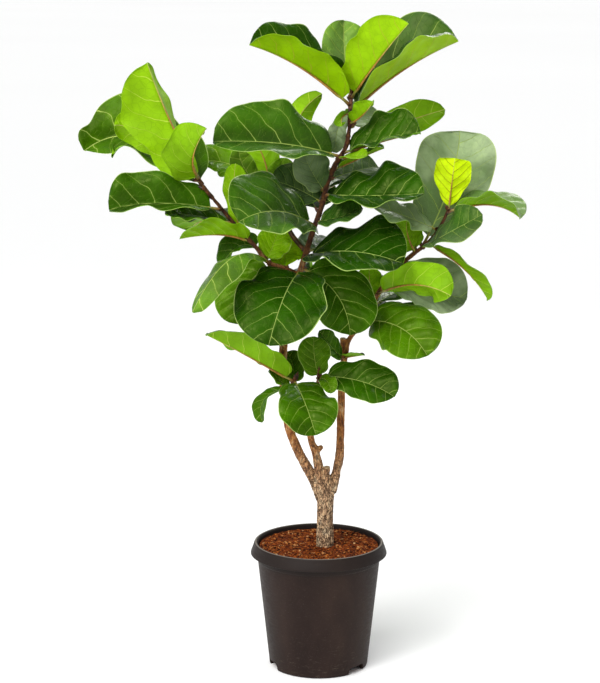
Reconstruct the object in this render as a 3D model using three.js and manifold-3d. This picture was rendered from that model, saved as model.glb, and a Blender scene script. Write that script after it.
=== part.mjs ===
// A fiddle leaf fig about 1.5 m tall, growing in the round plastic pot that it was raised in.
// Millimetres, +Z up. The origin is on the surface the pot stands on, at the pot's axis, and the
// plant's front faces -Y.
import * as THREE from "three";
import { mergeVertices } from "three/addons/utils/BufferGeometryUtils.js";
import Module from "manifold-3d";

const wasm = await Module();
wasm.setup();

// ---------------------------------------------------------------- driving dimensions

const CLEARANCE = 0.35; // gap between neighbouring pieces

const POT = {
  height: 285,
  footRadius: 107.5, // ring that the pot stands on
  footWidth: 6,
  footDraft: 1, // the foot ring's inner face leans this far
  cornerRadius: 111, // where the rounded bottom edge meets the wall
  cornerHeight: 6,
  wallTopRadius: 137,
  neckRadius: 139,
  neckBottom: 246,
  lipBottom: 258.5,
  lipRadius: 152.5,
  crestRadius: 144.5,
  crestWidth: 2, // flat top of the rim
  lipEdge: 1,
  lipInside: 273, // where the hollow under the lip ends
  wall: 2.5,
  baseRise: 8, // the base plate hangs this far above the surface
  padRadius: 25, // flat foot in the middle of the base plate
  padSlope: 3,
  sides: 40,
  notchWidth: 50,
  notchHeight: 16,
  notchDepth: 30,
  notchTurns: [50, 170, 290], // degrees from the front, towards +X
  holeRadius: 5,
  holeCircle: 72,
  holes: 6,
  holeSides: 10,
};

const SOIL = {
  top: 275,
  unevenness: 2.5,
  flatRings: [0.78, 0.52, 0.26], // of the edge's radius
  edgeDrop: 4, // the surface sinks towards the wall
  sides: 40,
};

const WOOD = {
  furrows: 3, // around a stem
  furrowTwist: 2, // radians from one ring to the next
  thickRadius: 9, // stems thicker than this at the root have ten sides, the others eight
};

const LEAF = {
  thickness: 1.4,
  ribDepth: 3, // how far the midrib stands out below the blade at its foot
  petioleRadius: 3.2,
  petioleShare: 0.09, // of the whole length from stem to tip
  widest: 0.62, // of the blade's length
  waist: 0.16, // how much the fiddle's waist is drawn in
  waistPlace: 0.3,
  waistSpread: 0.13,
  footFullness: 2.4, // 2 would be an ellipse
  waves: 2.3, // along each edge
  waveShift: 0.37, // of a wave, from one leaf to the next
  slopeStep: 0.02, // for measuring the blade's slope along it
  slopeStepAcross: 0.1,
};

// Shoots and leaves that are still young: a bright yellow-green.
const YOUNG = new Set([
  ...["top_leaf_1", "top_leaf_3", "top_shoot", "inner_shoot"],
  ...[2, 10, 12].map((n) => `leader_leaf_${n}`),
  ...[1, 3, 5, 6, 7, 8, 9, 10].map((n) => `left_leaf_${n}`),
  ...[2, 3, 5, 7, 9, 11].map((n) => `right_leaf_${n}`),
]);

const COLOURS = {
  pot: 0x37332f,
  soil: 0x7a4124,
  bark: 0x9c7b5c,
  leaf: 0x3f7a1c,
  youngLeaf: 0x86b81c,
};

// ---------------------------------------------------------------- stems

// Each stem is a row of [x, y, z, radius] from its root to its tip.
// grown: the node that the stem is one piece with.
const STEMS = {
  base: {
    grown: "trunk",
    furrow: 0.07,
    points: [
      [12, 0, 175, 23],
      [13, 0, 240, 21],
      [14, 0, 279, 19.5],
      [14, 0, 333, 17.5],
      [15, 0, 379, 18.5],
      [16, 0, 414, 20.5],
      [19, 0, 436, 13],
    ],
  },
  leader: {
    grown: "trunk",
    furrow: 0.05,
    points: [
      [5, 0, 379, 10],
      [-11, 2, 422, 11],
      [-31, 4, 463, 11],
      [-53, 6, 506, 10.5],
      [-69, 8, 556, 10],
      [-77, 10, 617, 9.5],
      [-80, 10, 685, 9.5],
      [-75, 8, 752, 9],
      [-62, 4, 825, 8],
      [-44, 0, 887, 7],
      [-14, 0, 984, 6.2],
      [6, 0, 1041, 6],
      [16, 0, 1084, 5.8],
      [34, 0, 1128, 5.6],
      [55, 0, 1162, 5.4],
      [64, 0, 1203, 5],
      [65, 0, 1246, 4.6],
    ],
  },
  middle: {
    grown: "trunk",
    furrow: 0.05,
    points: [
      [9, -4, 399, 12],
      [0, -8, 455, 11],
      [-7, -12, 490, 8.5],
      [-18, -16, 525, 7.5],
      [-20, -20, 567, 6.5],
      [-13, -24, 613, 5.5],
    ],
  },
  right: {
    grown: "trunk",
    furrow: 0.05,
    points: [
      [27, 0, 398, 12],
      [38, 2, 439, 10.5],
      [46, 6, 481, 9.5],
      [48, 12, 548, 9],
      [50, 18, 615, 8.5],
      [51, 22, 666, 8],
      [58, 24, 707, 7.5],
      [64, 24, 734, 6],
      [75, 22, 752, 5.5],
      [92, 18, 771, 5.2],
      [108, 14, 789, 5],
      [118, 10, 819, 4.9],
      [131, 4, 849, 4.8],
      [159, -4, 892, 4.7],
      [199, -12, 931, 4.6],
      [227, -18, 954, 4.5],
      [246, -22, 974, 4.3],
      [265, -26, 1005, 4],
      [279, -30, 1036, 3.6],
    ],
  },
  left: {
    grown: "trunk",
    furrow: 0.03,
    points: [
      [-44, 0, 887, 5.5],
      [-77, -8, 904, 5.2],
      [-112, -14, 918, 5],
      [-140, -18, 954, 4.8],
      [-170, -22, 985, 4.6],
      [-195, -26, 1016, 4.5],
      [-223, -30, 1051, 4.3],
      [-244, -34, 1077, 4],
      [-259, -38, 1101, 3.6],
    ],
  },
  stump: {
    grown: "trunk",
    furrow: 0.04,
    points: [
      [14, -4, 415, 8],
      [17, -11, 440, 7.5],
      [18, -14, 458, 7],
    ],
  },
  knob: {
    grown: "trunk",
    furrow: 0,
    points: [
      [-6, -10, 492, 5],
      [2, -13, 501, 6.5],
      [7, -15, 506, 4],
    ],
  },
  right_stub: {
    grown: "trunk",
    furrow: 0.03,
    points: [
      [54, 23, 690, 7],
      [53, 23, 722, 6.5],
      [53, 23, 742, 6.5],
    ],
  },
  top: {
    grown: "top_shoot",
    furrow: 0,
    points: [
      [65, 0, 1240, 5],
      [67, 0, 1262, 4.6],
      [70, 0, 1284, 2.5],
    ],
  },
  inner: {
    grown: "inner_shoot",
    furrow: 0,
    points: [
      [-29, 2, 938, 5.5],
      [-58, 38, 968, 5.5],
      [-90, 64, 1026, 5],
      [-112, 76, 1078, 3.5],
    ],
  },
  low: {
    grown: "low_shoot",
    furrow: 0,
    points: [
      [-77, 10, 612, 5],
      [-66, 2, 632, 5],
      [-53, -6, 654, 3.5],
    ],
  },
  middle_tip: {
    grown: "middle_shoot",
    furrow: 0,
    points: [
      [-14, -24, 606, 4.8],
      [-5, -26, 645, 4.6],
      [2, -28, 672, 3],
    ],
  },
};

// ---------------------------------------------------------------- leaves

// One row is one leaf: the node it belongs to, the stem it grows from and the height it leaves it at,
// its tip, how far its midrib bows away from the straight line, its width, the way its upper side
// faces, the angle that its halves fold up by, and the height of the waves along its edges.
const LEAVES = [
  // the crown's top
  ["top_leaf_1", "top", 1254, [-148, -70, 1386], [8, -10, 32], 176, [0.5, -0.22, 1], 48, 6],
  ["top_shoot", "top", 1272, [184, -95, 1431], [-18, -20, -8], 148, [-0.58, 0.71, 0.41], 43, 6],
  ["top_leaf_2", "top", 1238, [300, 45, 1390], [-14, 30, 22], 234, [-0.66, -0.45, 1], 44, 8],
  ["top_shoot", "top", 1268, [53, 70, 1434], [-10, 10, -5], 112, [0.2, -1, 0.1], 18, 8],
  ["top_shoot", "top", 1238, [48, -38, 1214], [-18, -26, 12], 36, [-0.4, 0.5, 0.8], 22, 1],
  ["top_leaf_3", "leader", 1216, [112, -70, 1268], [8, -20, -5], 58, [0, 0.1, 1], 38, 3],
  // the leader, left side
  ["leader_leaf_1", "leader", 1146, [-226, -75, 1184], [26, -15, 24], 186, [0, -0.64, 0.77], 30, 10],
  ["leader_leaf_2", "leader", 1112, [6, 120, 1274], [-125, 60, 6], 70, [0.2, 0.9, 0.3], 34, 5],
  ["leader_leaf_3", "leader", 1070, [-35, 5, 1153], [-5, -5, -5], 88, [0.15, -1, 0.3], 18, 6],
  ["leader_leaf_4", "leader", 995, [-170, -164, 1024], [0, -42, 60], 200, [-0.2, -0.75, 0.6], 16, 10],
  ["leader_leaf_5", "leader", 1043, [-105, 30, 1092], [0, 24, 10], 102, [0, -0.8, 0.6], 12, 6],
  ["leader_leaf_6", "leader", 893, [-108, -165, 762], [0, -25, 58], 204, [-0.1, -0.65, 0.75], 8, 9],
  // the leader, right side
  ["leader_leaf_7", "leader", 1062, [220, -100, 1077], [-4, -20, -5], 160, [0, -0.52, 0.86], 21, 10],
  ["leader_leaf_8", "leader", 1152, [215, -45, 1200], [0, -12, 8], 140, [0, -0.47, 0.88], 28, 8],
  ["leader_leaf_9", "leader", 1210, [114, 84, 1250], [5, 30, -4], 72, [0, -1, 0.3], 15, 6],
  ["leader_leaf_10", "leader", 1174, [280, 140, 1238], [4, 96, -2], 82, [-0.3, 0.9, 0.3], 12, 4],
  ["leader_leaf_11", "leader", 1118, [138, -20, 1165], [10, 10, 5], 70, [-0.1, -0.1, 1], 25, 5],
  ["leader_leaf_12", "leader", 1142, [100, -98, 1156], [0, -40, 6], 42, [0, -0.6, 0.8], 18, 1],
  ["leader_leaf_13", "leader", 1095, [130, 86, 1115], [10, 10, 10], 80, [0, -0.6, 0.8], 15, 6],
  ["leader_leaf_14", "leader", 1006, [92, -45, 1040], [6, -12, -8], 106, [0, -0.55, 0.83], 22, 6],
  ["leader_leaf_15", "leader", 928, [176, -122, 930], [-8, -34, 42], 204, [0.1, -0.48, 0.9], 14, 9],
  ["leader_leaf_16", "leader", 905, [66, -75, 768], [46, -8, 34], 152, [0.25, -0.85, 0.45], 12, 7],
  // the small shoot between the leader and the left branch
  ["inner_shoot", "inner", 1072, [-85, 62, 1137], [25, -5, -15], 66, [0, -1, 0.2], 15, 5],
  ["inner_shoot", "inner", 1064, [-160, 110, 1180], [15, 20, 40], 90, [0.2, 0.95, 0.1], 15, 6],
  ["inner_shoot", "inner", 1044, [-175, 60, 1158], [-45, 10, 10], 55, [0, -1, 0.2], 15, 5],
  // the left branch, near the leader
  ["left_leaf_1", "left", 962, [-300, -55, 974], [25, 5, 25], 120, [0, 0.34, 0.94], 20, 6],
  ["left_leaf_2", "left", 944, [-216, 26, 902], [0, 10, 52], 85, [-0.1, -0.5, 0.85], 15, 6],
  ["left_leaf_3", "left", 914, [-268, -170, 834], [4, -40, 134], 84, [-0.35, -0.5, 0.8], -28, 6],
  ["left_leaf_4", "left", 912, [-180, -35, 785], [-35, 20, 30], 120, [-0.4, -0.8, 0.45], 12, 8],
  ["left_leaf_5", "left", 920, [-90, 26, 982], [0, 0, -6], 78, [0, -1, 0.3], 12, 5],
  ["left_leaf_6", "left", 902, [-42, 52, 954], [-34, 26, 0], 88, [0.1, -0.9, 0.5], 12, 5],
  ["left_leaf_7", "left", 985, [-180, -45, 1135], [-15, -10, 0], 62, [0.3, 0.95, 0.1], 20, 5],
  // the left branch, its far end
  ["left_leaf_8", "left", 1088, [-366, -35, 1347], [-18, 25, 0], 180, [-0.67, 0.71, -0.23], 42, 8],
  ["left_leaf_9", "left", 1101, [-238, -120, 1216], [-40, -48, -16], 128, [-0.74, 0.7, -0.02], 46, 6],
  ["left_leaf_10", "left", 1080, [-445, 44, 1210], [-40, 82, 68], 85, [0.1, 0.95, 0.3], 10, 5],
  ["left_leaf_11", "left", 1060, [-528, 186, 1142], [-26, 218, 132], 196, [0.05, -0.74, 0.66], 25, 19],
  ["left_leaf_12", "left", 1033, [-450, -60, 1037], [-25, -22, 30], 150, [0, -0.64, 0.77], 37, 8],
  ["left_leaf_13", "left", 1004, [-330, -65, 1028], [-15, 0, 14], 84, [0, -0.4, 0.92], 14, 5],
  ["left_leaf_14", "inner", 1050, [-268, 152, 1120], [0, 90, 44], 118, [0, -0.5, 0.85], 12, 6],
  // the right branch
  ["right_leaf_1", "right", 950, [310, 92, 1194], [40, 50, 12], 178, [0, -1, 0.25], 14, 11],
  ["right_leaf_2", "right", 1034, [290, -30, 1145], [0, 0, -5], 80, [0, 1, 0.1], 8, 5],
  ["right_leaf_3", "right", 1028, [431, -55, 1018], [20, 15, 46], 138, [0.15, 0.05, 1], 25, 6],
  ["right_leaf_4", "right", 990, [110, -70, 1050], [0, 5, 5], 95, [0, -0.5, 0.85], 8, 10],
  ["right_leaf_5", "right", 940, [188, -30, 1012], [-14, -6, 0], 90, [-0.2, 0.9, 0.3], 12, 6],
  ["right_leaf_6", "right", 950, [344, -108, 1033], [-8, -38, 2], 98, [0.2, -0.6, 0.75], 12, 6],
  ["right_leaf_7", "right", 960, [366, -40, 838], [24, 0, 16], 100, [0.5, 0.2, 0.8], 15, 5],
  ["right_leaf_8", "right", 858, [326, 35, 828], [-10, 30, 6], 160, [-0.15, -0.78, 0.62], 30, 8],
  ["right_leaf_9", "right", 845, [278, -125, 862], [-5, -60, 55], 105, [0, 0.9, 0.35], 25, 6],
  ["right_leaf_10", "right", 782, [232, -96, 726], [18, -28, 50], 142, [0.1, -0.85, 0.5], 8, 6],
  ["right_leaf_11", "right", 822, [110, 30, 900], [-5, 10, 0], 60, [0, 0.95, 0.1], 12, 5],
  ["right_leaf_12", "right", 695, [0, -10, 765], [-5, -15, 0], 50, [0.3, -0.8, 0.5], 20, 3],
  ["right_leaf_13", "right", 702, [100, -5, 710], [-10, -10, 0], 48, [0, 0.2, 1], 15, 1],
  // the low side shoot
  ["low_shoot", "low", 650, [-244, -85, 770], [5, -10, 4], 122, [0, 0.34, 0.94], 22, 6],
  ["low_shoot", "low", 640, [-110, -20, 675], [0, 10, -10], 50, [0, -0.5, 0.85], 15, 3],
  ["low_shoot", "low", 645, [-70, 35, 710], [15, 15, -5], 60, [0.2, -1, 0.2], 15, 5],
  ["low_shoot", "low", 652, [-8, -135, 560], [0, -40, 28], 130, [0.1, -0.7, 0.7], 8, 8],
  ["low_shoot", "low", 635, [-125, -35, 565], [-50, -10, 30], 48, [-0.5, -0.3, 0.8], 15, 1],
  // the middle stem
  ["middle_shoot", "middle_tip", 664, [-12, -34, 757], [-8, -12, 0], 74, [0, -1, 0.2], 14, 6],
  ["middle_shoot", "middle_tip", 662, [25, -80, 640], [10, -15, 25], 38, [0, -0.8, 0.6], 15, 3],
  ["middle_shoot", "middle_tip", 668, [162, -90, 634], [20, 0, 22], 108, [0.1, -0.75, 0.65], 12, 6],
  // the crown's back
  ["back_leaf_1", "leader", 1074, [100, 238, 1050], [5, 10, 40], 162, [0, 0, 1], 14, 10],
  ["back_leaf_2", "leader", 1024, [-80, 260, 1045], [0, 10, 40], 175, [-0.1, 0, 1], 12, 10],
  ["back_leaf_3", "leader", 940, [92, 250, 890], [14, 6, 44], 172, [0.1, 0, 1], 12, 10],
  ["back_leaf_4", "left", 988, [-290, 175, 965], [-30, 20, 40], 130, [-0.1, 0, 1], 16, 8],
  ["back_leaf_5", "right", 816, [238, 225, 812], [20, 20, 35], 150, [0.1, 0, 1], 14, 10],
  ["back_leaf_6", "right", 805, [190, 215, 745], [10, 20, 50], 155, [0.2, 0, 1], 10, 10],
  ["back_leaf_7", "leader", 855, [-110, 225, 815], [-10, 20, 50], 172, [-0.1, 0, 1], 12, 10],
  // the leaf that hangs behind the leader's top
  ["top_shoot", "top", 1246, [38, 45, 1150], [-24, 24, 4], 44, [0.1, -1, 0.1], 12, 3],
];

// ---------------------------------------------------------------- solids

// A closed three.js geometry as a manifold solid.
function solidOf(geometry) {
  const bare = geometry.clone();
  bare.deleteAttribute("normal");
  bare.deleteAttribute("uv");
  const merged = mergeVertices(bare, 1e-4);
  const corners = [];
  for (let i = 0; i < merged.index.count; i += 3) {
    const [a, b, c] = [0, 1, 2].map((k) => merged.index.getX(i + k));
    if (a !== b && b !== c && c !== a) corners.push(a, b, c);
  }
  return new wasm.Manifold(
    new wasm.Mesh({
      numProp: 3,
      vertProperties: new Float32Array(merged.attributes.position.array),
      triVerts: new Uint32Array(corners),
    }),
  );
}

// The largest of a solid's separate bodies: what a cut leaves over as scraps is dropped.
function largestBody(solid) {
  return solid.decompose().reduce((a, b) => (a.volume() > b.volume() ? a : b));
}

function unionOf(solids) {
  return solids.reduce((a, b) => a.add(b));
}

const group = new THREE.Group();

function addNode(name, solid, colour, roughness) {
  const { numProp, numVert, vertProperties, triVerts } = solid.getMesh();
  const positions = new Float32Array(3 * numVert);
  for (let i = 0; i < numVert; i++) {
    positions.set(vertProperties.subarray(i * numProp, i * numProp + 3), 3 * i);
  }
  const geometry = new THREE.BufferGeometry();
  geometry.setAttribute("position", new THREE.BufferAttribute(positions, 3));
  geometry.setIndex(new THREE.BufferAttribute(new Uint32Array(triVerts), 1));
  geometry.computeVertexNormals();
  const material = new THREE.MeshStandardMaterial({ color: colour, roughness, metalness: 0 });
  const mesh = new THREE.Mesh(geometry, material);
  mesh.name = name;
  group.add(mesh);
}

// A closed skin over rings of equally many points. Points k and n-1-k of a ring lie across from each
// other, so both halves of the skin and both end caps are split into triangles alike.
function loft(rings) {
  const count = rings[0].length;
  const index = [];
  for (let i = 0; i + 1 < rings.length; i++) {
    for (let j = 0; j < count; j++) {
      const here = i * count + j;
      const beside = i * count + ((j + 1) % count);
      const above = here + count;
      const across = beside + count;
      if (j < count / 2) index.push(here, beside, across, here, across, above);
      else index.push(here, beside, above, beside, across, above);
    }
  }
  const last = (rings.length - 1) * count;
  for (let k = 0; k + 1 < count / 2; k++) {
    const cap = [k, k + 1, count - 2 - k, count - 1 - k];
    index.push(cap[0], cap[2], cap[1], cap[0], cap[3], cap[2]);
    index.push(last + cap[0], last + cap[1], last + cap[2]);
    index.push(last + cap[0], last + cap[2], last + cap[3]);
  }
  const positions = rings.flat().flatMap((point) => point.toArray());
  const geometry = new THREE.BufferGeometry();
  geometry.setAttribute("position", new THREE.Float32BufferAttribute(positions, 3));
  geometry.setIndex(index);
  return geometry;
}

// ---------------------------------------------------------------- stems

const BACK = new THREE.Vector3(0, 1, 0); // no stem runs this way, so it steadies their rings

function stemCurve(stem) {
  return new THREE.CatmullRomCurve3(stem.points.map(([x, y, z]) => new THREE.Vector3(x, y, z)));
}

function stemSolid(stem, clearance) {
  const curve = stemCurve(stem);
  const spans = stem.points.length - 1;
  const sides = stem.points[0][3] > WOOD.thickRadius ? 10 : 8;
  const rings = stem.points.map(([, , , radius], i) => {
    const share = i / spans;
    const along = curve.getTangent(share);
    const side = new THREE.Vector3().crossVectors(along, BACK).normalize();
    const out = new THREE.Vector3().crossVectors(side, along);
    return Array.from({ length: sides }, (_, k) => {
      const turn = (2 * Math.PI * (k + 0.5)) / sides;
      const furrow = stem.furrow * Math.sin(WOOD.furrows * turn + WOOD.furrowTwist * i);
      const grown = radius * (1 + furrow) + clearance;
      return curve
        .getPoint(share)
        .addScaledVector(out, grown * Math.cos(turn))
        .addScaledVector(side, grown * Math.sin(turn));
    });
  });
  return solidOf(loft(rings));
}

function woodOf(node, clearance) {
  const stems = Object.values(STEMS).filter((stem) => stem.grown === node);
  return unionOf(stems.map((stem) => stemSolid(stem, clearance)));
}

// The point of a stem at a given height.
function stemPoint(name, height) {
  const curve = stemCurve(STEMS[name]);
  const points = curve.getPoints(12 * (STEMS[name].points.length - 1));
  return points.reduce((a, b) => (Math.abs(a.z - height) <= Math.abs(b.z - height) ? a : b));
}

// ---------------------------------------------------------------- one leaf

const PLACES_ACROSS = [-1, -0.55, 0, 0.55, 1];
const BIG_LEAF_ROWS = [0.01, 0.12, 0.3, 0.52, 0.74, 0.91, 1];
const SMALL_LEAF_ROWS = [0.01, 0.2, 0.5, 0.8, 1];
const SMALL_LEAF_WIDTH = 119;
const TIP_SHARE = 0.03; // the blunt tip's width, as a share of the leaf's

function outline(u) {
  const reach = u < LEAF.widest ? 1 - u / LEAF.widest : (u - LEAF.widest) / (1 - LEAF.widest);
  const power = u < LEAF.widest ? LEAF.footFullness : 2;
  const oval = Math.pow(Math.max(0, 1 - Math.pow(reach, power)), 1 / power);
  const drawnIn = LEAF.waist * Math.exp(-(((u - LEAF.waistPlace) / LEAF.waistSpread) ** 2));
  return Math.max(TIP_SHARE, oval * (1 - drawnIn));
}

function leafGeometry([, stem, height, tip, bow, width, face, fold, wave], number) {
  const start = stemPoint(stem, height);
  const end = new THREE.Vector3(...tip);
  const middle = start.clone().add(end).multiplyScalar(0.5).add(new THREE.Vector3(...bow));
  const midrib = new THREE.QuadraticBezierCurve3(start, middle, end);
  const facing = new THREE.Vector3(...face);

  // A point of the leaf: u runs along the blade, s across it from edge to edge.
  function bladePoint(u, s) {
    const share = LEAF.petioleShare + u * (1 - LEAF.petioleShare);
    const along = midrib.getTangent(share);
    const side = new THREE.Vector3().crossVectors(along, facing).normalize();
    const up = new THREE.Vector3().crossVectors(side, along);
    const reach = Math.abs(s) * outline(u) * (width / 2);
    const angle = THREE.MathUtils.degToRad(fold);
    const phase = 2 * Math.PI * (LEAF.waves * u + LEAF.waveShift * number + (s < 0 ? 0.5 : 0));
    const lift = wave * s * s * Math.sin(Math.PI * Math.min(1, u)) * Math.sin(phase);
    return midrib
      .getPoint(share)
      .addScaledVector(side, Math.sign(s) * reach * Math.cos(angle))
      .addScaledVector(up, reach * Math.sin(angle) + lift);
  }

  function bladeNormal(u, s) {
    const [step, stepAcross] = [LEAF.slopeStep, LEAF.slopeStepAcross];
    const along = bladePoint(Math.min(1, u + step), s).sub(bladePoint(Math.max(0, u - step), s));
    const inner = bladePoint(u, Math.max(-1, s - stepAcross));
    const across = bladePoint(u, Math.min(1, s + stepAcross)).sub(inner);
    return across.cross(along).normalize();
  }

  // The petiole: a short round stalk, flattened to five points above and five below like the blade.
  function petioleRing(share) {
    const along = midrib.getTangent(share);
    const side = new THREE.Vector3().crossVectors(along, facing).normalize();
    const up = new THREE.Vector3().crossVectors(side, along);
    const ring = [];
    for (let k = 0; k < 2 * PLACES_ACROSS.length; k++) {
      const turn = (2 * Math.PI * (k + 0.5)) / (2 * PLACES_ACROSS.length) - Math.PI / 2;
      ring.push(
        midrib
          .getPoint(share)
          .addScaledVector(side, LEAF.petioleRadius * Math.sin(turn))
          .addScaledVector(up, LEAF.petioleRadius * Math.cos(turn)),
      );
    }
    return ring;
  }

  function bladeRing(u) {
    const upper = [];
    const lower = [];
    for (const s of PLACES_ACROSS) {
      const normal = bladeNormal(u, s);
      const rib = s === 0 ? LEAF.ribDepth * (1 - u) : 0;
      upper.push(bladePoint(u, s).addScaledVector(normal, LEAF.thickness / 2));
      lower.unshift(bladePoint(u, s).addScaledVector(normal, -LEAF.thickness / 2 - rib));
    }
    return [...upper, ...lower];
  }

  const rows = width < SMALL_LEAF_WIDTH ? SMALL_LEAF_ROWS : BIG_LEAF_ROWS;
  return loft([petioleRing(0), petioleRing(0.9 * LEAF.petioleShare), ...rows.map(bladeRing)]);
}

// ---------------------------------------------------------------- pot

function ringSolid(profile, sides) {
  const points = profile.map(([radius, height]) => new THREE.Vector2(radius, height));
  return new THREE.LatheGeometry(points, sides).rotateX(Math.PI / 2);
}

function potSolid() {
  const inside = POT.baseRise + POT.wall;
  const profile = [
    [0, 0],
    [POT.padRadius, 0],
    [POT.padRadius + POT.padSlope, POT.baseRise],
    [POT.footRadius - POT.footWidth, POT.baseRise],
    [POT.footRadius - POT.footWidth + POT.footDraft, 0],
    [POT.footRadius, 0],
    [POT.cornerRadius - 1, POT.cornerHeight / 3],
    [POT.cornerRadius, POT.cornerHeight],
    [POT.wallTopRadius, POT.neckBottom - 1],
    [POT.neckRadius, POT.neckBottom],
    [POT.neckRadius, POT.lipInside - POT.wall],
    [POT.crestRadius - POT.wall, POT.lipInside],
    [POT.lipRadius - POT.wall, POT.lipBottom],
    [POT.lipRadius, POT.lipBottom + POT.lipEdge],
    [POT.crestRadius, POT.height - POT.crestWidth],
    [POT.crestRadius - POT.crestWidth, POT.height],
    [POT.neckRadius, POT.height],
    [POT.neckRadius - POT.wall, POT.height - 2 * POT.crestWidth],
    [POT.wallTopRadius - POT.wall, POT.neckBottom - 1],
    [POT.cornerRadius - POT.wall, inside + POT.wall],
    [POT.cornerRadius - 2 * POT.wall, inside],
    [0, inside],
  ];
  const body = solidOf(ringSolid(profile, POT.sides));
  const cutters = POT.notchTurns.map((degrees) => {
    const notch = new THREE.BoxGeometry(POT.notchWidth, POT.notchDepth, 2 * POT.notchHeight);
    notch.translate(0, -POT.footRadius, 0);
    return solidOf(notch.rotateZ(THREE.MathUtils.degToRad(degrees)));
  });
  for (let i = 0; i < POT.holes; i++) {
    const drill = 4 * POT.baseRise;
    const hole = new THREE.CylinderGeometry(POT.holeRadius, POT.holeRadius, drill, POT.holeSides);
    hole.rotateX(Math.PI / 2).translate(POT.holeCircle, 0, 0);
    cutters.push(solidOf(hole.rotateZ((2 * Math.PI * i) / POT.holes)));
  }
  return body.subtract(unionOf(cutters));
}

// ---------------------------------------------------------------- soil

function soilSolid() {
  const floor = POT.baseRise + POT.wall + CLEARANCE;
  const inner = (height) => {
    const share = (height - floor) / (POT.neckBottom - floor);
    const radius = POT.cornerRadius + share * (POT.wallTopRadius - POT.cornerRadius);
    return radius - POT.wall - 2 * CLEARANCE;
  };
  const edge = inner(POT.neckBottom);
  const profile = [
    [0, floor],
    [inner(floor) - SOIL.edgeDrop, floor],
    [inner(floor), floor + SOIL.edgeDrop],
    [edge, POT.neckBottom],
    [edge, SOIL.top - SOIL.edgeDrop],
    [edge - SOIL.edgeDrop, SOIL.top - SOIL.edgeDrop / 4],
    ...SOIL.flatRings.map((share) => [share * edge, SOIL.top]),
    [0, SOIL.top],
  ];
  const geometry = ringSolid(profile, SOIL.sides);
  const place = geometry.attributes.position;
  for (let i = 0; i < place.count; i++) {
    const [x, y, z] = [place.getX(i), place.getY(i), place.getZ(i)];
    if (z < SOIL.top - SOIL.edgeDrop / 2) continue;
    const bump = Math.sin(x / 17) * Math.cos(y / 14 + 1) + 0.6 * Math.sin(x / 9 + y / 11);
    place.setZ(i, z + SOIL.unevenness * bump);
  }
  return solidOf(geometry);
}

// ---------------------------------------------------------------- assembly

const trunk = woodOf("trunk", 0);
const trunkRoom = woodOf("trunk", CLEARANCE);
const shoots = [...new Set(Object.values(STEMS).map((stem) => stem.grown))].filter((n) => n !== "trunk");
const woodRoom = unionOf([trunkRoom, ...shoots.map((node) => woodOf(node, CLEARANCE))]);

addNode("pot", potSolid(), COLOURS.pot, 0.45);
addNode("soil", soilSolid().subtract(trunkRoom), COLOURS.soil, 1);
addNode("trunk", trunk, COLOURS.bark, 0.85);

const leafSolids = new Map();
LEAVES.forEach((row, number) => {
  const blade = solidOf(leafGeometry(row, number));
  leafSolids.set(row[0], [...(leafSolids.get(row[0]) ?? []), blade]);
});
for (const [node, blades] of leafSolids) {
  const fused = shoots.includes(node);
  const whole = fused ? unionOf([woodOf(node, 0), ...blades]) : blades[0];
  const clear = largestBody(whole.subtract(fused ? trunkRoom : woodRoom));
  addNode(node, clear, YOUNG.has(node) ? COLOURS.youngLeaf : COLOURS.leaf, 0.5);
}

export default group;
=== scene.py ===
# %% [markdown]
# # A fiddle leaf fig in its nursery pot
#
# The real plant stands about 1.45 m tall: a tapered plastic pot, moist coco and peat soil, three bare
# woody stems and a crown of large leathery leaves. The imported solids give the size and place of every
# piece. This lesson dresses them: each coarse leaf is made again as a thin curved blade with veins,
# the stems get bark, and the pot and the soil get the surface that they have in a nursery.
#
# Everything is in metres, with +Z up, and the plant's front faces -Y.

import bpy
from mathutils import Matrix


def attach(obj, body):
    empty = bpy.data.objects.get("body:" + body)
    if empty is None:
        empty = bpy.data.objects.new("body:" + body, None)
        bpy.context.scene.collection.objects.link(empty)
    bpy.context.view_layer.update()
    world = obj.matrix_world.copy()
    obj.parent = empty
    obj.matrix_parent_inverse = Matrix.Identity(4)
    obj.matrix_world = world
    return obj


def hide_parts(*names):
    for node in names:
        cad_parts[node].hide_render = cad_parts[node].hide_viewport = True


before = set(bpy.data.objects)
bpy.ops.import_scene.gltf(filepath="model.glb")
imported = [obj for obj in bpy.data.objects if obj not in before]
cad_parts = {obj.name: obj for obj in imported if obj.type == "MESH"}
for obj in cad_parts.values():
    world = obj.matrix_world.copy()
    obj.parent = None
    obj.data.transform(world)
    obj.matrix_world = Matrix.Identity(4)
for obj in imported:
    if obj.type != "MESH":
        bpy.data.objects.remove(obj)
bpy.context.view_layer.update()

# %% Tools that the lesson uses
import functools
import math
import random

import bmesh
import bpy
from mathutils import Vector, noise

# %% [markdown]
# ## One function for every node
#
# A material in Blender is a small graph of nodes. Adding one takes four steps: make the node, set its
# settings, fill or link its sockets, and give a colour ramp its stops. One function does all four and
# returns the node's output, so that each material below reads as a short recipe. Colours are written as
# the sRGB hex codes that a paint program shows, and are turned into the linear values that nodes use.
#
# Object coordinates are in metres, so a pattern's scale is 1 over its size in metres: cells of 4 mm have
# a scale of 250. The comments in the recipes give each pattern's size in millimetres.

# %% Colours and nodes
EASED = {"interpolation_type": "SMOOTHSTEP"}  # a Map Range node that eases in and out
MIXED = {"data_type": "RGBA", "out": 2}  # a Mix node for colours: share 0, colours 6 and 7


def colour(code):
    """An sRGB hex code as linear red, green, blue and alpha."""
    parts = [int(code[i : i + 2], 16) / 255 for i in (1, 3, 5)]
    return (*(c / 12.92 if c <= 0.04045 else ((c + 0.055) / 1.055) ** 2.4 for c in parts), 1.0)


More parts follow.
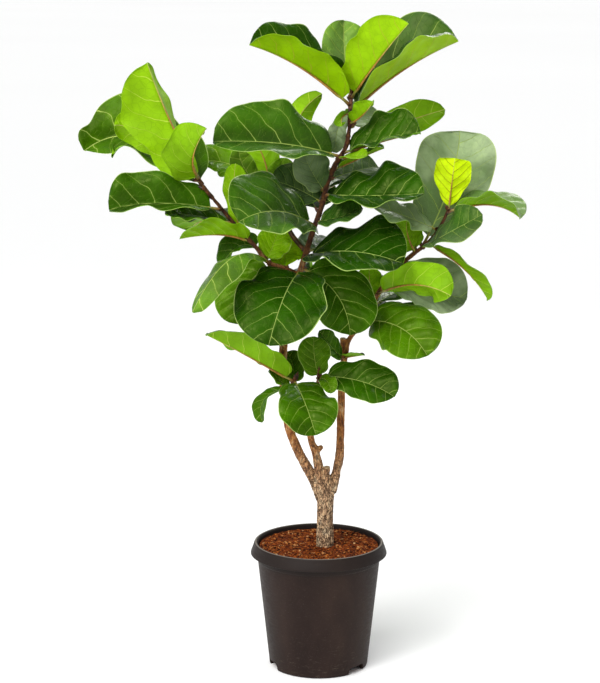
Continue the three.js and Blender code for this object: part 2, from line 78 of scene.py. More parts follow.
def add_node(tree, kind, inputs=(), out=0, stops=(), **settings):
    """Adds a node and returns an output. An input is a value, or another node's output to link."""
    made = tree.nodes.new("ShaderNode" + kind)
    for name, value in settings.items():
        setattr(made, name, value)
    for socket, value in inputs.items() if isinstance(inputs, dict) else enumerate(inputs):
        if isinstance(value, bpy.types.NodeSocket):
            tree.links.new(value, made.inputs[socket])
        else:
            made.inputs[socket].default_value = value
    elements = made.color_ramp.elements if stops else ()
    while len(elements) < len(stops):
        elements.new(1.0)
    for element, (place, code) in zip(elements, stops):
        element.position, element.color = place, colour(code)
    return made.outputs[out] if made.outputs else None


def new_material(name):
    """An empty material: what adds its nodes, its shader and the object's own coordinates."""
    made = bpy.data.materials.new(name)
    made.use_nodes = True
    made.node_tree.nodes.clear()
    add = functools.partial(add_node, made.node_tree)
    surface = add("BsdfPrincipled")
    add("OutputMaterial", {"Surface": surface})
    return made, add, surface.node, add("TexCoord", out="Object")


def finish_shader(add, shader, base, rough, height=None, depth=0.001, strength=1.0, specular=0.5):
    """Links base colour and roughness, and a bump of the given depth in metres."""
    links = shader.id_data.links
    links.new(base, shader.inputs["Base Color"])
    links.new(rough, shader.inputs["Roughness"])
    shader.inputs["Specular IOR Level"].default_value = specular
    if height is not None:
        bump = add("Bump", {"Height": height, "Distance": depth, "Strength": strength})
        links.new(bump, shader.inputs["Normal"])


def make_grained(name, grain, stops, rough, depth, shade=None, light=None, specular=0.5):
    """A finish whose one grain, given as scale, detail and stretch, bumps, roughens and colours it.

    Where shade names a value of the mesh, that gives the colour, and the grain only lights it."""
    made, add, shader, where = new_material(name)
    scale, detail, stretch = grain
    where = add("Mapping", {"Vector": where, "Scale": (1, 1, stretch)})
    grain = add("TexNoise", {"Vector": where, "Scale": scale, "Detail": detail, "Roughness": 0.55})
    base = add("Attribute", out="Fac", attribute_name=shade) if shade else grain
    base = add("ValToRGB", (base,), stops=stops)
    if light:
        light = add("MapRange", (grain, 0.3, 0.7, *light), **EASED)
        base = add("HueSaturation", {"Color": base, "Value": light})
    rough = add("MapRange", (grain, 0.3, 0.7, *rough), **EASED)
    finish_shader(add, shader, base, rough, grain, depth, specular=specular)
    return made


print("a mid green in linear light:", [round(v, 3) for v in colour("#2f6b12")[:3]])

# %% [markdown]
# ## Small helpers for shapes
#
# Three jobs come back for most pieces: a finished bmesh is made an object, its faces are shaded smooth,
# and a point is turned round the plant's axis.

# %% From a bmesh to an object
def new_object(name, mesh):
    """Turns a finished bmesh into an object in the scene."""
    data = bpy.data.meshes.new(name)
    mesh.to_mesh(data)
    mesh.free()
    made = bpy.data.objects.new(name, data)
    bpy.context.scene.collection.objects.link(made)
    return made


def smooth_faces(faces, material=0):
    for face in faces:
        face.material_index, face.smooth = material, True


def turned(x, y, angle):
    """The point (x, y) turned round the origin."""
    return x * math.cos(angle) - y * math.sin(angle), x * math.sin(angle) + y * math.cos(angle)


print("a point in front, turned to the right:", [round(v) for v in turned(0, -1, math.radians(90))])

# %% [markdown]
# ## Stems and leaves as tables
#
# A stem is a row of (x, y, z, radius) from its root to its tip. A leaf is one row too: the node it
# belongs to, the stem and the height where it leaves it, its tip, how far its midrib bows away from the
# straight line, its width, the way its upper side faces, the angle its halves fold up by, the height of
# the waves along its edges, and its looks: how young the upper side and the underside are, from 0 for
# dark old green to 1 for yellow, where the underside's brighter values also paint light shining through
# the leaf, and how much pale painted sheen, standing for reflected light, lies on the upper side.

# %% The stems
STEMS = {
    "base": ("trunk", [
        (0.012, 0, 0.175, 0.023), (0.013, 0, 0.24, 0.021), (0.014, 0, 0.279, 0.0195),
        (0.014, 0, 0.333, 0.0175), (0.015, 0, 0.379, 0.0185), (0.016, 0, 0.414, 0.0205),
        (0.019, 0, 0.436, 0.013),
    ]),
    "leader": ("trunk", [
        (0.005, 0, 0.379, 0.01), (-0.011, 0.002, 0.422, 0.011), (-0.031, 0.004, 0.463, 0.011),
        (-0.053, 0.006, 0.506, 0.0105), (-0.069, 0.008, 0.556, 0.01), (-0.077, 0.01, 0.617, 0.0095),
        (-0.08, 0.01, 0.685, 0.0095), (-0.075, 0.008, 0.752, 0.009), (-0.062, 0.004, 0.825, 0.008),
        (-0.044, 0, 0.887, 0.007), (-0.014, 0, 0.984, 0.0062), (0.006, 0, 1.041, 0.006),
        (0.016, 0, 1.084, 0.0058), (0.034, 0, 1.128, 0.0056), (0.055, 0, 1.162, 0.0054),
        (0.064, 0, 1.203, 0.005), (0.065, 0, 1.246, 0.0046),
    ]),
    "middle": ("trunk", [
        (0.009, -0.004, 0.399, 0.012), (0, -0.008, 0.455, 0.011), (-0.007, -0.012, 0.49, 0.0085),
        (-0.018, -0.016, 0.525, 0.0075), (-0.02, -0.02, 0.567, 0.0065), (-0.013, -0.024, 0.613, 0.0055),
    ]),
    "right": ("trunk", [
        (0.027, 0, 0.398, 0.012), (0.038, 0.002, 0.439, 0.0105), (0.046, 0.006, 0.481, 0.0095),
        (0.048, 0.012, 0.548, 0.009), (0.05, 0.018, 0.615, 0.0085), (0.051, 0.022, 0.666, 0.008),
        (0.058, 0.024, 0.707, 0.0075), (0.064, 0.024, 0.734, 0.006), (0.075, 0.022, 0.752, 0.0055),
        (0.092, 0.018, 0.771, 0.0052), (0.108, 0.014, 0.789, 0.005), (0.118, 0.01, 0.819, 0.0049),
        (0.131, 0.004, 0.849, 0.0048), (0.159, -0.004, 0.892, 0.0047), (0.199, -0.012, 0.931, 0.0046),
        (0.227, -0.018, 0.954, 0.0045), (0.246, -0.022, 0.974, 0.0043), (0.265, -0.026, 1.005, 0.004),
        (0.279, -0.03, 1.036, 0.0036),
    ]),
    "left": ("trunk", [
        (-0.044, 0, 0.887, 0.0055), (-0.077, -0.008, 0.904, 0.0052), (-0.112, -0.014, 0.918, 0.005),
        (-0.14, -0.018, 0.954, 0.0048), (-0.17, -0.022, 0.985, 0.0046), (-0.195, -0.026, 1.016, 0.0045),
        (-0.223, -0.03, 1.051, 0.0043), (-0.244, -0.034, 1.077, 0.004), (-0.259, -0.038, 1.101, 0.0036),
    ]),
    "stump": ("trunk", [
        (0.014, -0.004, 0.415, 0.008), (0.017, -0.011, 0.44, 0.0075), (0.018, -0.014, 0.458, 0.007),
    ]),
    "knob": ("trunk", [
        (-0.006, -0.01, 0.492, 0.005), (0.002, -0.013, 0.501, 0.0065), (0.007, -0.015, 0.506, 0.004),
    ]),
    "right_stub": ("trunk", [
        (0.054, 0.023, 0.69, 0.007), (0.053, 0.023, 0.722, 0.0065), (0.053, 0.023, 0.742, 0.0065),
    ]),
    "top": ("top_shoot", [
        (0.065, 0, 1.24, 0.005), (0.067, 0, 1.262, 0.0046), (0.07, 0, 1.284, 0.0025),
    ]),
    "inner": ("inner_shoot", [
        (-0.029, 0.002, 0.938, 0.0055), (-0.058, 0.038, 0.968, 0.0055), (-0.09, 0.064, 1.026, 0.005),
        (-0.112, 0.076, 1.078, 0.0035),
    ]),
    "low": ("low_shoot", [
        (-0.077, 0.01, 0.612, 0.005), (-0.066, 0.002, 0.632, 0.005), (-0.053, -0.006, 0.654, 0.0035),
    ]),
    "middle_tip": ("middle_shoot", [
        (-0.014, -0.024, 0.606, 0.0048), (-0.005, -0.026, 0.645, 0.0046), (0.002, -0.028, 0.672, 0.003),
    ]),
}
print("stems:", ", ".join(STEMS))

# %% The leaves
LEAVES = [
    # the crown's top
    ("top_leaf_1", "top", 1.254, (-0.148, -0.07, 1.386), (0.008, -0.01, 0.032),
     0.176, (0.5, -0.22, 1), 48, 0.006, (0.1, 0.92, 0.0)),
    ("top_shoot", "top", 1.272, (0.184, -0.095, 1.431), (-0.018, -0.02, -0.008),
     0.148, (-0.58, 0.71, 0.41), 43, 0.006, (0.3, 0.92, 0.0)),
    ("top_leaf_2", "top", 1.238, (0.3, 0.045, 1.39), (-0.014, 0.03, 0.022),
     0.234, (-0.66, -0.45, 1), 44, 0.008, (0.14, 0.94, 0.1)),
    ("top_shoot", "top", 1.268, (0.053, 0.07, 1.434), (-0.01, 0.01, -0.005),
     0.112, (0.2, -1, 0.1), 18, 0.008, (0.35, 0.8, 0.15)),
    ("top_shoot", "top", 1.238, (0.048, -0.038, 1.214), (-0.018, -0.026, 0.012),
     0.036, (-0.4, 0.5, 0.8), 22, 0.001, (0.25, 0.62, 0.3)),
    ("top_leaf_3", "leader", 1.216, (0.112, -0.07, 1.268), (0.008, -0.02, -0.005),
     0.058, (0, 0.1, 1), 38, 0.003, (0.4, 0.8, 0.0)),
    # the leader, left side
    ("leader_leaf_1", "leader", 1.146, (-0.226, -0.075, 1.184), (0.026, -0.015, 0.024),
     0.186, (0, -0.64, 0.77), 30, 0.01, (0.15, 0.6, 0.02)),
    ("leader_leaf_2", "leader", 1.112, (0.006, 0.12, 1.274), (-0.125, 0.06, 0.006),
     0.07, (0.2, 0.9, 0.3), 34, 0.005, (0.5, 0.85, 0.1)),
    ("leader_leaf_3", "leader", 1.07, (-0.035, 0.005, 1.153), (-0.005, -0.005, -0.005),
     0.088, (0.15, -1, 0.3), 18, 0.006, (0.08, 0.5, 0.35)),
    ("leader_leaf_4", "leader", 0.995, (-0.17, -0.164, 1.024), (0, -0.042, 0.06),
     0.2, (-0.2, -0.75, 0.6), 16, 0.01, (0.15, 0.5, 0.03)),
    ("leader_leaf_5", "leader", 1.043, (-0.105, 0.03, 1.092), (0, 0.024, 0.01),
     0.102, (0, -0.8, 0.6), 12, 0.006, (0.02, 0.5, 0.1)),
    ("leader_leaf_6", "leader", 0.893, (-0.108, -0.165, 0.762), (0, -0.025, 0.058),
     0.204, (-0.1, -0.65, 0.75), 8, 0.009, (0.1, 0.5, 0.0)),
    # the leader, right side
    ("leader_leaf_7", "leader", 1.062, (0.22, -0.1, 1.077), (-0.004, -0.02, -0.005),
     0.16, (0, -0.52, 0.86), 21, 0.01, (0.12, 0.5, 0.0)),
    ("leader_leaf_8", "leader", 1.152, (0.215, -0.045, 1.2), (0, -0.012, 0.008),
     0.14, (0, -0.47, 0.88), 28, 0.008, (0.13, 0.5, 0.0)),
    ("leader_leaf_9", "leader", 1.21, (0.114, 0.084, 1.25), (0.005, 0.03, -0.004),
     0.072, (0, -1, 0.3), 15, 0.006, (0.12, 0.5, 0.6)),
    ("leader_leaf_10", "leader", 1.174, (0.28, 0.14, 1.238), (0.004, 0.096, -0.002),
     0.082, (-0.3, 0.9, 0.3), 12, 0.004, (0.5, 0.75, 0.3)),
    ("leader_leaf_11", "leader", 1.118, (0.138, -0.02, 1.165), (0.01, 0.01, 0.005),
     0.07, (-0.1, -0.1, 1), 25, 0.005, (0.3, 0.8, 0.0)),
    ("leader_leaf_12", "leader", 1.142, (0.1, -0.098, 1.156), (0, -0.04, 0.006),
     0.042, (0, -0.6, 0.8), 18, 0.001, (0.5, 0.8, 0.0)),
    ("leader_leaf_13", "leader", 1.095, (0.13, 0.086, 1.115), (0.01, 0.01, 0.01),
     0.08, (0, -0.6, 0.8), 15, 0.006, (0.1, 0.5, 0.3)),
    ("leader_leaf_14", "leader", 1.006, (0.092, -0.045, 1.04), (0.006, -0.012, -0.008),
     0.106, (0, -0.55, 0.83), 22, 0.006, (0.12, 0.5, 0.05)),
    ("leader_leaf_15", "leader", 0.928, (0.176, -0.122, 0.93), (-0.008, -0.034, 0.042),
     0.204, (0.1, -0.48, 0.9), 14, 0.009, (0.05, 0.5, 0.0)),
    ("leader_leaf_16", "leader", 0.905, (0.066, -0.075, 0.768), (0.046, -0.008, 0.034),
     0.152, (0.25, -0.85, 0.45), 12, 0.007, (0.16, 0.5, 0.0)),
    # the small shoot between the leader and the left branch
    ("inner_shoot", "inner", 1.072, (-0.085, 0.062, 1.137), (0.025, -0.005, -0.015),
     0.066, (0, -1, 0.2), 15, 0.005, (0.5, 0.75, 0.1)),
    ("inner_shoot", "inner", 1.064, (-0.16, 0.11, 1.18), (0.015, 0.02, 0.04),
     0.09, (0.2, 0.95, 0.1), 15, 0.006, (0.4, 0.78, 0.1)),
    ("inner_shoot", "inner", 1.044, (-0.175, 0.06, 1.158), (-0.045, 0.01, 0.01),
     0.055, (0, -1, 0.2), 15, 0.005, (0.4, 0.75, 0.1)),
    # the left branch, near the leader
    ("left_leaf_1", "left", 0.962, (-0.3, -0.055, 0.974), (0.025, 0.005, 0.025),
     0.12, (0, 0.34, 0.94), 20, 0.006, (0.36, 0.78, 0.1)),
    ("left_leaf_2", "left", 0.944, (-0.216, 0.026, 0.902), (0, 0.01, 0.052),
     0.085, (-0.1, -0.5, 0.85), 15, 0.006, (0.15, 0.6, 0.0)),
    ("left_leaf_3", "left", 0.914, (-0.268, -0.17, 0.834), (0.004, -0.04, 0.134),
     0.084, (-0.35, -0.5, 0.8), -28, 0.006, (0.27, 0.6, 0.05)),
    ("left_leaf_4", "left", 0.912, (-0.18, -0.035, 0.785), (-0.035, 0.02, 0.03),
     0.12, (-0.4, -0.8, 0.45), 12, 0.008, (0.26, 0.65, 0.0)),
    ("left_leaf_5", "left", 0.92, (-0.09, 0.026, 0.982), (0, 0, -0.006),
     0.078, (0, -1, 0.3), 12, 0.005, (0.5, 0.75, 0.0)),
    ("left_leaf_6", "left", 0.902, (-0.042, 0.052, 0.954), (-0.034, 0.026, 0),
     0.088, (0.1, -0.9, 0.5), 12, 0.005, (0.6, 0.8, 0.0)),
    ("left_leaf_7", "left", 0.985, (-0.18, -0.045, 1.135), (-0.015, -0.01, 0),
     0.062, (0.3, 0.95, 0.1), 20, 0.005, (0.5, 0.82, 0.0)),
    # the left branch, its far end
    ("left_leaf_8", "left", 1.088, (-0.366, -0.035, 1.347), (-0.018, 0.025, 0),
     0.18, (-0.67, 0.71, -0.23), 42, 0.008, (0.4, 0.84, 0.0)),
    ("left_leaf_9", "left", 1.101, (-0.238, -0.12, 1.216), (-0.04, -0.048, -0.016),
     0.128, (-0.74, 0.7, -0.02), 46, 0.006, (0.4, 0.76, 0.0)),
    ("left_leaf_10", "left", 1.08, (-0.445, 0.044, 1.21), (-0.04, 0.082, 0.068),
     0.085, (0.1, 0.95, 0.3), 10, 0.005, (0.4, 0.84, 0.0)),
    ("left_leaf_11", "left", 1.06, (-0.528, 0.186, 1.142), (-0.026, 0.218, 0.132),
     0.196, (0.05, -0.74, 0.66), 25, 0.019, (0.2, 0.7, 0.0)),
    ("left_leaf_12", "left", 1.033, (-0.45, -0.06, 1.037), (-0.025, -0.022, 0.03),
     0.15, (0, -0.64, 0.77), 37, 0.008, (0.15, 0.6, 0.0)),
    ("left_leaf_13", "left", 1.004, (-0.33, -0.065, 1.028), (-0.015, 0, 0.014),
     0.084, (0, -0.4, 0.92), 14, 0.005, (0.16, 0.6, 0.0)),
    ("left_leaf_14", "inner", 1.05, (-0.268, 0.152, 1.12), (0, 0.09, 0.044),
     0.118, (0, -0.5, 0.85), 12, 0.006, (0.32, 0.62, 0.0)),
    # the right branch
    ("right_leaf_1", "right", 0.95, (0.31, 0.092, 1.194), (0.04, 0.05, 0.012),
     0.178, (0, -1, 0.25), 14, 0.011, (0.15, 0.5, 0.72)),
    ("right_leaf_2", "right", 1.034, (0.29, -0.03, 1.145), (0, 0, -0.005),
     0.08, (0, 1, 0.1), 8, 0.005, (0.95, 1.0, 0.0)),
    ("right_leaf_3", "right", 1.028, (0.431, -0.055, 1.018), (0.02, 0.015, 0.046),
     0.138, (0.15, 0.05, 1), 25, 0.006, (0.24, 0.7, 0.3)),
    ("right_leaf_4", "right", 0.99, (0.11, -0.07, 1.05), (0, 0.005, 0.005),
     0.095, (0, -0.5, 0.85), 8, 0.01, (0.2, 0.6, 1.0)),
    ("right_leaf_5", "right", 0.94, (0.188, -0.03, 1.012), (-0.014, -0.006, 0),
     0.09, (-0.2, 0.9, 0.3), 12, 0.006, (0.4, 0.72, 0.2)),
    ("right_leaf_6", "right", 0.95, (0.344, -0.108, 1.033), (-0.008, -0.038, 0.002),
     0.098, (0.2, -0.6, 0.75), 12, 0.006, (0.14, 0.5, 0.1)),
    ("right_leaf_7", "right", 0.96, (0.366, -0.04, 0.838), (0.024, 0, 0.016),
     0.1, (0.5, 0.2, 0.8), 15, 0.005, (0.25, 0.7, 0.3)),
    ("right_leaf_8", "right", 0.858, (0.326, 0.035, 0.828), (-0.01, 0.03, 0.006),
     0.16, (-0.15, -0.78, 0.62), 30, 0.008, (0.05, 0.5, 0.8)),
    ("right_leaf_9", "right", 0.845, (0.278, -0.125, 0.862), (-0.005, -0.06, 0.055),
     0.105, (0, 0.9, 0.35), 25, 0.006, (0.35, 0.72, 0.1)),
    ("right_leaf_10", "right", 0.782, (0.232, -0.096, 0.726), (0.018, -0.028, 0.05),
     0.142, (0.1, -0.85, 0.5), 8, 0.006, (0.26, 0.5, 0.0)),
    ("right_leaf_11", "right", 0.822, (0.11, 0.03, 0.9), (-0.005, 0.01, 0),
     0.06, (0, 0.95, 0.1), 12, 0.005, (0.5, 0.78, 0.0)),
    ("right_leaf_12", "right", 0.695, (0, -0.01, 0.765), (-0.005, -0.015, 0),
     0.05, (0.3, -0.8, 0.5), 20, 0.003, (0.15, 0.6, 0.0)),
    ("right_leaf_13", "right", 0.702, (0.1, -0.005, 0.71), (-0.01, -0.01, 0),
     0.048, (0, 0.2, 1), 15, 0.001, (0.15, 0.6, 0.0)),
    # the low side shoot
    ("low_shoot", "low", 0.65, (-0.244, -0.085, 0.77), (0.005, -0.01, 0.004),
     0.122, (0, 0.34, 0.94), 22, 0.006, (0.3, 0.66, 0.1)),
    ("low_shoot", "low", 0.64, (-0.11, -0.02, 0.675), (0, 0.01, -0.01),
     0.05, (0, -0.5, 0.85), 15, 0.003, (0.24, 0.6, 0.0)),
    ("low_shoot", "low", 0.645, (-0.07, 0.035, 0.71), (0.015, 0.015, -0.005),
     0.06, (0.2, -1, 0.2), 15, 0.005, (0.2, 0.6, 0.0)),
    ("low_shoot", "low", 0.652, (-0.008, -0.135, 0.56), (0, -0.04, 0.028),
     0.13, (0.1, -0.7, 0.7), 8, 0.008, (0.18, 0.6, 0.0)),
    ("low_shoot", "low", 0.635, (-0.125, -0.035, 0.565), (-0.05, -0.01, 0.03),
     0.048, (-0.5, -0.3, 0.8), 15, 0.001, (0.18, 0.6, 0.0)),
    # the middle stem
    ("middle_shoot", "middle_tip", 0.664, (-0.012, -0.034, 0.757), (-0.008, -0.012, 0),
     0.074, (0, -1, 0.2), 14, 0.006, (0.24, 0.6, 0.0)),
    ("middle_shoot", "middle_tip", 0.662, (0.025, -0.08, 0.64), (0.01, -0.015, 0.025),
     0.038, (0, -0.8, 0.6), 15, 0.003, (0.3, 0.7, 0.0)),
    ("middle_shoot", "middle_tip", 0.668, (0.162, -0.09, 0.634), (0.02, 0, 0.022),
     0.108, (0.1, -0.75, 0.65), 12, 0.006, (0.14, 0.6, 0.0)),
    # the crown's back
    ("back_leaf_1", "leader", 1.074, (0.1, 0.238, 1.05), (0.005, 0.01, 0.04),
     0.162, (0, 0, 1), 14, 0.01, (0.1, 0.55, 0.1)),
    ("back_leaf_2", "leader", 1.024, (-0.08, 0.26, 1.045), (0, 0.01, 0.04),
     0.175, (-0.1, 0, 1), 12, 0.01, (0.1, 0.55, 0.1)),
    ("back_leaf_3", "leader", 0.94, (0.092, 0.25, 0.89), (0.014, 0.006, 0.044),
     0.172, (0.1, 0, 1), 12, 0.01, (0.1, 0.55, 0.1)),
    ("back_leaf_4", "left", 0.988, (-0.29, 0.175, 0.965), (-0.03, 0.02, 0.04),
     0.13, (-0.1, 0, 1), 16, 0.008, (0.1, 0.55, 0.1)),
    ("back_leaf_5", "right", 0.816, (0.238, 0.225, 0.812), (0.02, 0.02, 0.035),
     0.15, (0.1, 0, 1), 14, 0.01, (0.1, 0.55, 0.1)),
    ("back_leaf_6", "right", 0.805, (0.19, 0.215, 0.745), (0.01, 0.02, 0.05),
     0.155, (0.2, 0, 1), 10, 0.01, (0.1, 0.55, 0.1)),
    ("back_leaf_7", "leader", 0.855, (-0.11, 0.225, 0.815), (-0.01, 0.02, 0.05),
     0.172, (-0.1, 0, 1), 12, 0.01, (0.1, 0.55, 0.1)),
    # the leaf that hangs behind the leader's top
    ("top_shoot", "top", 1.246, (0.038, 0.045, 1.15), (-0.024, 0.024, 0.004),
     0.044, (0.1, -1, 0.1), 12, 0.003, (0.1, 0.5, 0.6)),
]
print(len(LEAVES), "leaves")

# %% [markdown]
# ## The curves that the plant grows along
#
# A stem's middle line is a smooth curve through its points. Of the curves that pass through every
# point, the centripetal one is used, because it makes no loops where points lie close together.

# %% Stem curves
STEPS_A_SPAN = 12


def curve_span(before, start, end, after, share):
    """A point of the centripetal curve between start and end."""
    gaps = [max((b - a).length ** 0.5, 1e-4) for a, b in ((before, start), (start, end), (end, after))]
    out_slope = (start - before) / gaps[0] - (end - before) / (gaps[0] + gaps[1]) + (end - start) / gaps[1]
    in_slope = (end - start) / gaps[1] - (after - start) / (gaps[1] + gaps[2]) + (after - end) / gaps[2]
    out_slope, in_slope = out_slope * gaps[1], in_slope * gaps[1]
    square, cube = share * share, share**3
    return (
        start * (2 * cube - 3 * square + 1)
        + out_slope * (cube - 2 * square + share)
        + end * (3 * square - 2 * cube)
        + in_slope * (cube - square)
    )


def stem_line(name):
    """The stem's middle line as close-set (point, radius) pairs."""
    rows = STEMS[name][1]
    points = [Vector(row[:3]) for row in rows]
    ends = [2 * points[0] - points[1], *points, 2 * points[-1] - points[-2]]
    line = []
    for i in range(len(points) - 1):
        for step in range(STEPS_A_SPAN):
            share = step / STEPS_A_SPAN
            radius = rows[i][3] + (rows[i + 1][3] - rows[i][3]) * share
            line.append((curve_span(*ends[i : i + 4], share), radius))
    return [*line, (points[-1], rows[-1][3])]


LINES = {name: stem_line(name) for name in STEMS}


def stem_point(name, height):
    """The point of a stem's middle line nearest to a height."""
    return min((point for point, _ in reversed(LINES[name])), key=lambda p: abs(p.z - height))


print("the leader ends at", [round(v, 3) for v in LINES["leader"][-1][0]])

# %% [markdown]
# ## Round stalks
#
# Petioles, midribs and stems are round. A ring of points is made at the start, and extruded from place
# to place along a line, each new ring turned square to it. Skinning a circle by hand this way keeps
# control of the radius everywhere, so a petiole can swell at its foot and a midrib can taper to nothing.

# %% A stalk along a line
def square_to(along):
    """Two directions at right angles to a direction and to each other."""
    side = along.cross(Vector((0, 1, 0)) if abs(along.y) < 0.9 else Vector((1, 0, 0))).normalized()
    return side, along.cross(side).normalized()


def move_ring(ring, centre, along, radius, sides):
    side, out = square_to(along)
    for k, vert in enumerate(ring):
        turn = 2 * math.pi * k / sides
        vert.co = centre + radius * (math.cos(turn) * side + math.sin(turn) * out)


def add_stalk(mesh, line, sides, material, share_layer=None):
    """Extrudes a ring of points along (point, radius) pairs, and closes both ends."""
    before = set(mesh.faces)
    ring = bmesh.ops.create_circle(mesh, cap_ends=True, radius=1, segments=sides)["verts"]
    for i, (centre, radius) in enumerate(line):
        along = (line[min(i + 1, len(line) - 1)][0] - line[max(i - 1, 0)][0]).normalized()
        if i:
            edges = {edge for vert in ring for edge in vert.link_edges}
            edges = [edge for edge in edges if set(edge.verts) <= set(ring)]
            grown = bmesh.ops.extrude_edge_only(mesh, edges=edges)["geom"]
            after = {}
            for vert in (g for g in grown if isinstance(g, bmesh.types.BMVert)):
                after[min(range(sides), key=lambda k: (ring[k].co - vert.co).length)] = vert
            ring = [after[k] for k in range(sides)]
        move_ring(ring, centre, along, radius, sides)
        if share_layer:
            for vert in ring:
                vert[share_layer] = i / (len(line) - 1)
    bmesh.ops.contextual_create(mesh, geom=ring)
    faces = [face for face in mesh.faces if face not in before]
    bmesh.ops.recalc_face_normals(mesh, faces=faces)
    smooth_faces(faces, material)


print("square to straight up:", [tuple(round(v) for v in side) for side in square_to(Vector((0, 0, 1)))])

# %% [markdown]
# ## The blade of one leaf
#
# A fiddle leaf is widest past its middle, with a slight waist below, and its two halves fold up a
# little along the midrib. It starts as a flat grid, which bmesh makes with evenly spaced points. Each
# point has a place along the blade, u, and across it, s, and a formula moves it to where it is on the
# plant. The blade also bulges up between its side veins, as thick leaves do, and ruffles at its edge.
#
# The grid is then extruded by the leaf's thickness. The moved copy is the waxy upper side, the sheet
# that stays is the underside, and the wall between them is the pale rim. Two leaves have a fuller,
# shield-like outline, and one has a notch near its tip.

# %% The leaf's measures
PETIOLE_SHARE = 0.09  # of the length from stem to tip
WIDEST = 0.62  # of the blade's length
WAIST, WAIST_PLACE, WAIST_SPREAD = 0.16, 0.3, 0.13
WAVES = 2.3  # along each edge
FULLNESS = 2.4, 2  # of the foot and of the tip; 2 is an ellipse
TIP_SHARE = 0.03
THICKNESS = 0.0009
VEINS = 5.4  # side veins on each half
VEIN_RISE, VEIN_CURVE = 0.55, 1.1  # how the side veins lean and curve towards the tip
VEIN_OFFSET = 0.4  # between the side veins of the two halves
PETIOLE_RADIUS, MIDRIB_TIP = 0.0027, 0.0003
PETIOLE_SWELL, SWELL_SHARE = 0.5, 0.03  # how much thicker its foot is, and on what share of the length
MIDRIB_REACH = 0.98  # of the way to the leaf's tip
QUILTING = 0.0032  # how far the blade bulges between its veins
FLAT_NEAR_MIDRIB = 0.05  # of the length, where it bulges less
FULL_WIDTH = 0.16  # narrower leaves are young and flatter
RUFFLE = 0.007  # the small folds of its edge
WARP = 0.009  # the slow bends that make each leaf differ
ARCH = 0.09  # how far each half arches between midrib and edge, as a share of its width
SHIELDS = {"right_leaf_2": (1.5, 5), "right_leaf_1": (2.4, 3)}  # fullness of foot and tip, where unusual
NOTCHES = {"left_leaf_11": (0.87, 0.08, 0.36, 1)}  # place along, spread, depth and side
UPPER, UNDER, STALK, WOOD = range(4)  # material slots of a leaf


def outline(u, fullness=FULLNESS):
    """The blade's width at u, as a share of its greatest."""
    reach = 1 - u / WIDEST if u < WIDEST else (u - WIDEST) / (1 - WIDEST)
    drawn_in = WAIST * math.exp(-(((u - WAIST_PLACE) / WAIST_SPREAD) ** 2))
    power = fullness[0] if u < WIDEST else fullness[1]
    return max(TIP_SHARE, max(0, 1 - reach**power) ** (1 / power) * (1 - drawn_in))


def vein_distance(u, out, side):
    """0 on a side vein, 0.5 midway between two. out is the distance from the midrib."""
    phase = VEINS * (u - VEIN_RISE * out - VEIN_CURVE * out * out) + (VEIN_OFFSET if side > 0 else 0)
    return abs(phase - round(phase))


print("outline at the waist and the widest place:", round(outline(WAIST_PLACE), 2), outline(WIDEST))

# %% A leaf's midrib
class Midrib:
    """The curve from the stem to the leaf's tip, with the leaf's own directions along it."""

    def __init__(self, row):
        node, stem, height, tip, bow, width, face, fold, wave, looks = row
        self.start, self.end = stem_point(stem, height), Vector(tip)
        self.control = (self.start + self.end) / 2 + Vector(bow)
        self.facing, self.width, self.wave = Vector(face), width, wave
        self.fold, self.looks = math.radians(fold), looks
        self.size = min(1.1, 0.5 + width / 0.3)  # of its petiole
        self.grown = min(1, width / FULL_WIDTH)
        self.fullness, self.notch = SHIELDS.get(node, FULLNESS), NOTCHES.get(node, (0, 1, 0, 0))
        steps = [self.point(i / 20) for i in range(21)]
        self.length = sum((b - a).length for a, b in zip(steps, steps[1:])) * (1 - PETIOLE_SHARE)

    def point(self, share):
        rest = 1 - share
        return rest * rest * self.start + 2 * rest * share * self.control + share * share * self.end

    def directions(self, share):
        """Along the leaf, across it, and up from its upper side."""
        along = ((1 - share) * (self.control - self.start) + share * (self.end - self.control)).normalized()
        side = along.cross(self.facing).normalized()
        return along, side, side.cross(along)


example = Midrib(LEAVES[0])
print("the first leaf's blade is", round(example.length, 3), "m long and", example.width, "m wide")


def blade_place(midrib, number, u, s):
    """Where the blade's point (u, s) is, and how far it is from the midrib as a share of the length."""
    share = PETIOLE_SHARE + u * (1 - PETIOLE_SHARE)
    along, side, up = midrib.directions(share)
    reach = abs(s) * outline(u, midrib.fullness) * midrib.width / 2
    notch_place, notch_spread, notch_depth, notch_side = midrib.notch
    if s * notch_side > 0:
        reach *= 1 - notch_depth * math.exp(-(((u - notch_place) / notch_spread) ** 2))
    out = reach / midrib.length
    phase = 2 * math.pi * (WAVES * u + 0.37 * number + (0.5 if s < 0 else 0))
    lift = midrib.wave * s * s * math.sin(math.pi * u) * math.sin(phase)
    folds = RUFFLE * s * s * noise.noise(Vector((8 * u, 2.5 * s, number * 3.7)))
    folds += WARP * abs(s) * noise.noise(Vector((2.6 * u, 1.4 * s, number * 5.3)))
    lift += folds * midrib.grown
    lift += ARCH * (1 + noise.noise(Vector((number * 1.7, 0, 0)))) * 4 * reach * (abs(s) - s * s)
    near = min(1, out / FLAT_NEAR_MIDRIB) * (1 - abs(s) ** 6)
    lift += QUILTING * midrib.grown * near * math.sin(math.pi * vein_distance(u, out, s))
    place = midrib.point(share)
    place += side * math.copysign(reach * math.cos(midrib.fold), s)
    place += up * (reach * math.sin(midrib.fold) + lift)
    return place, out


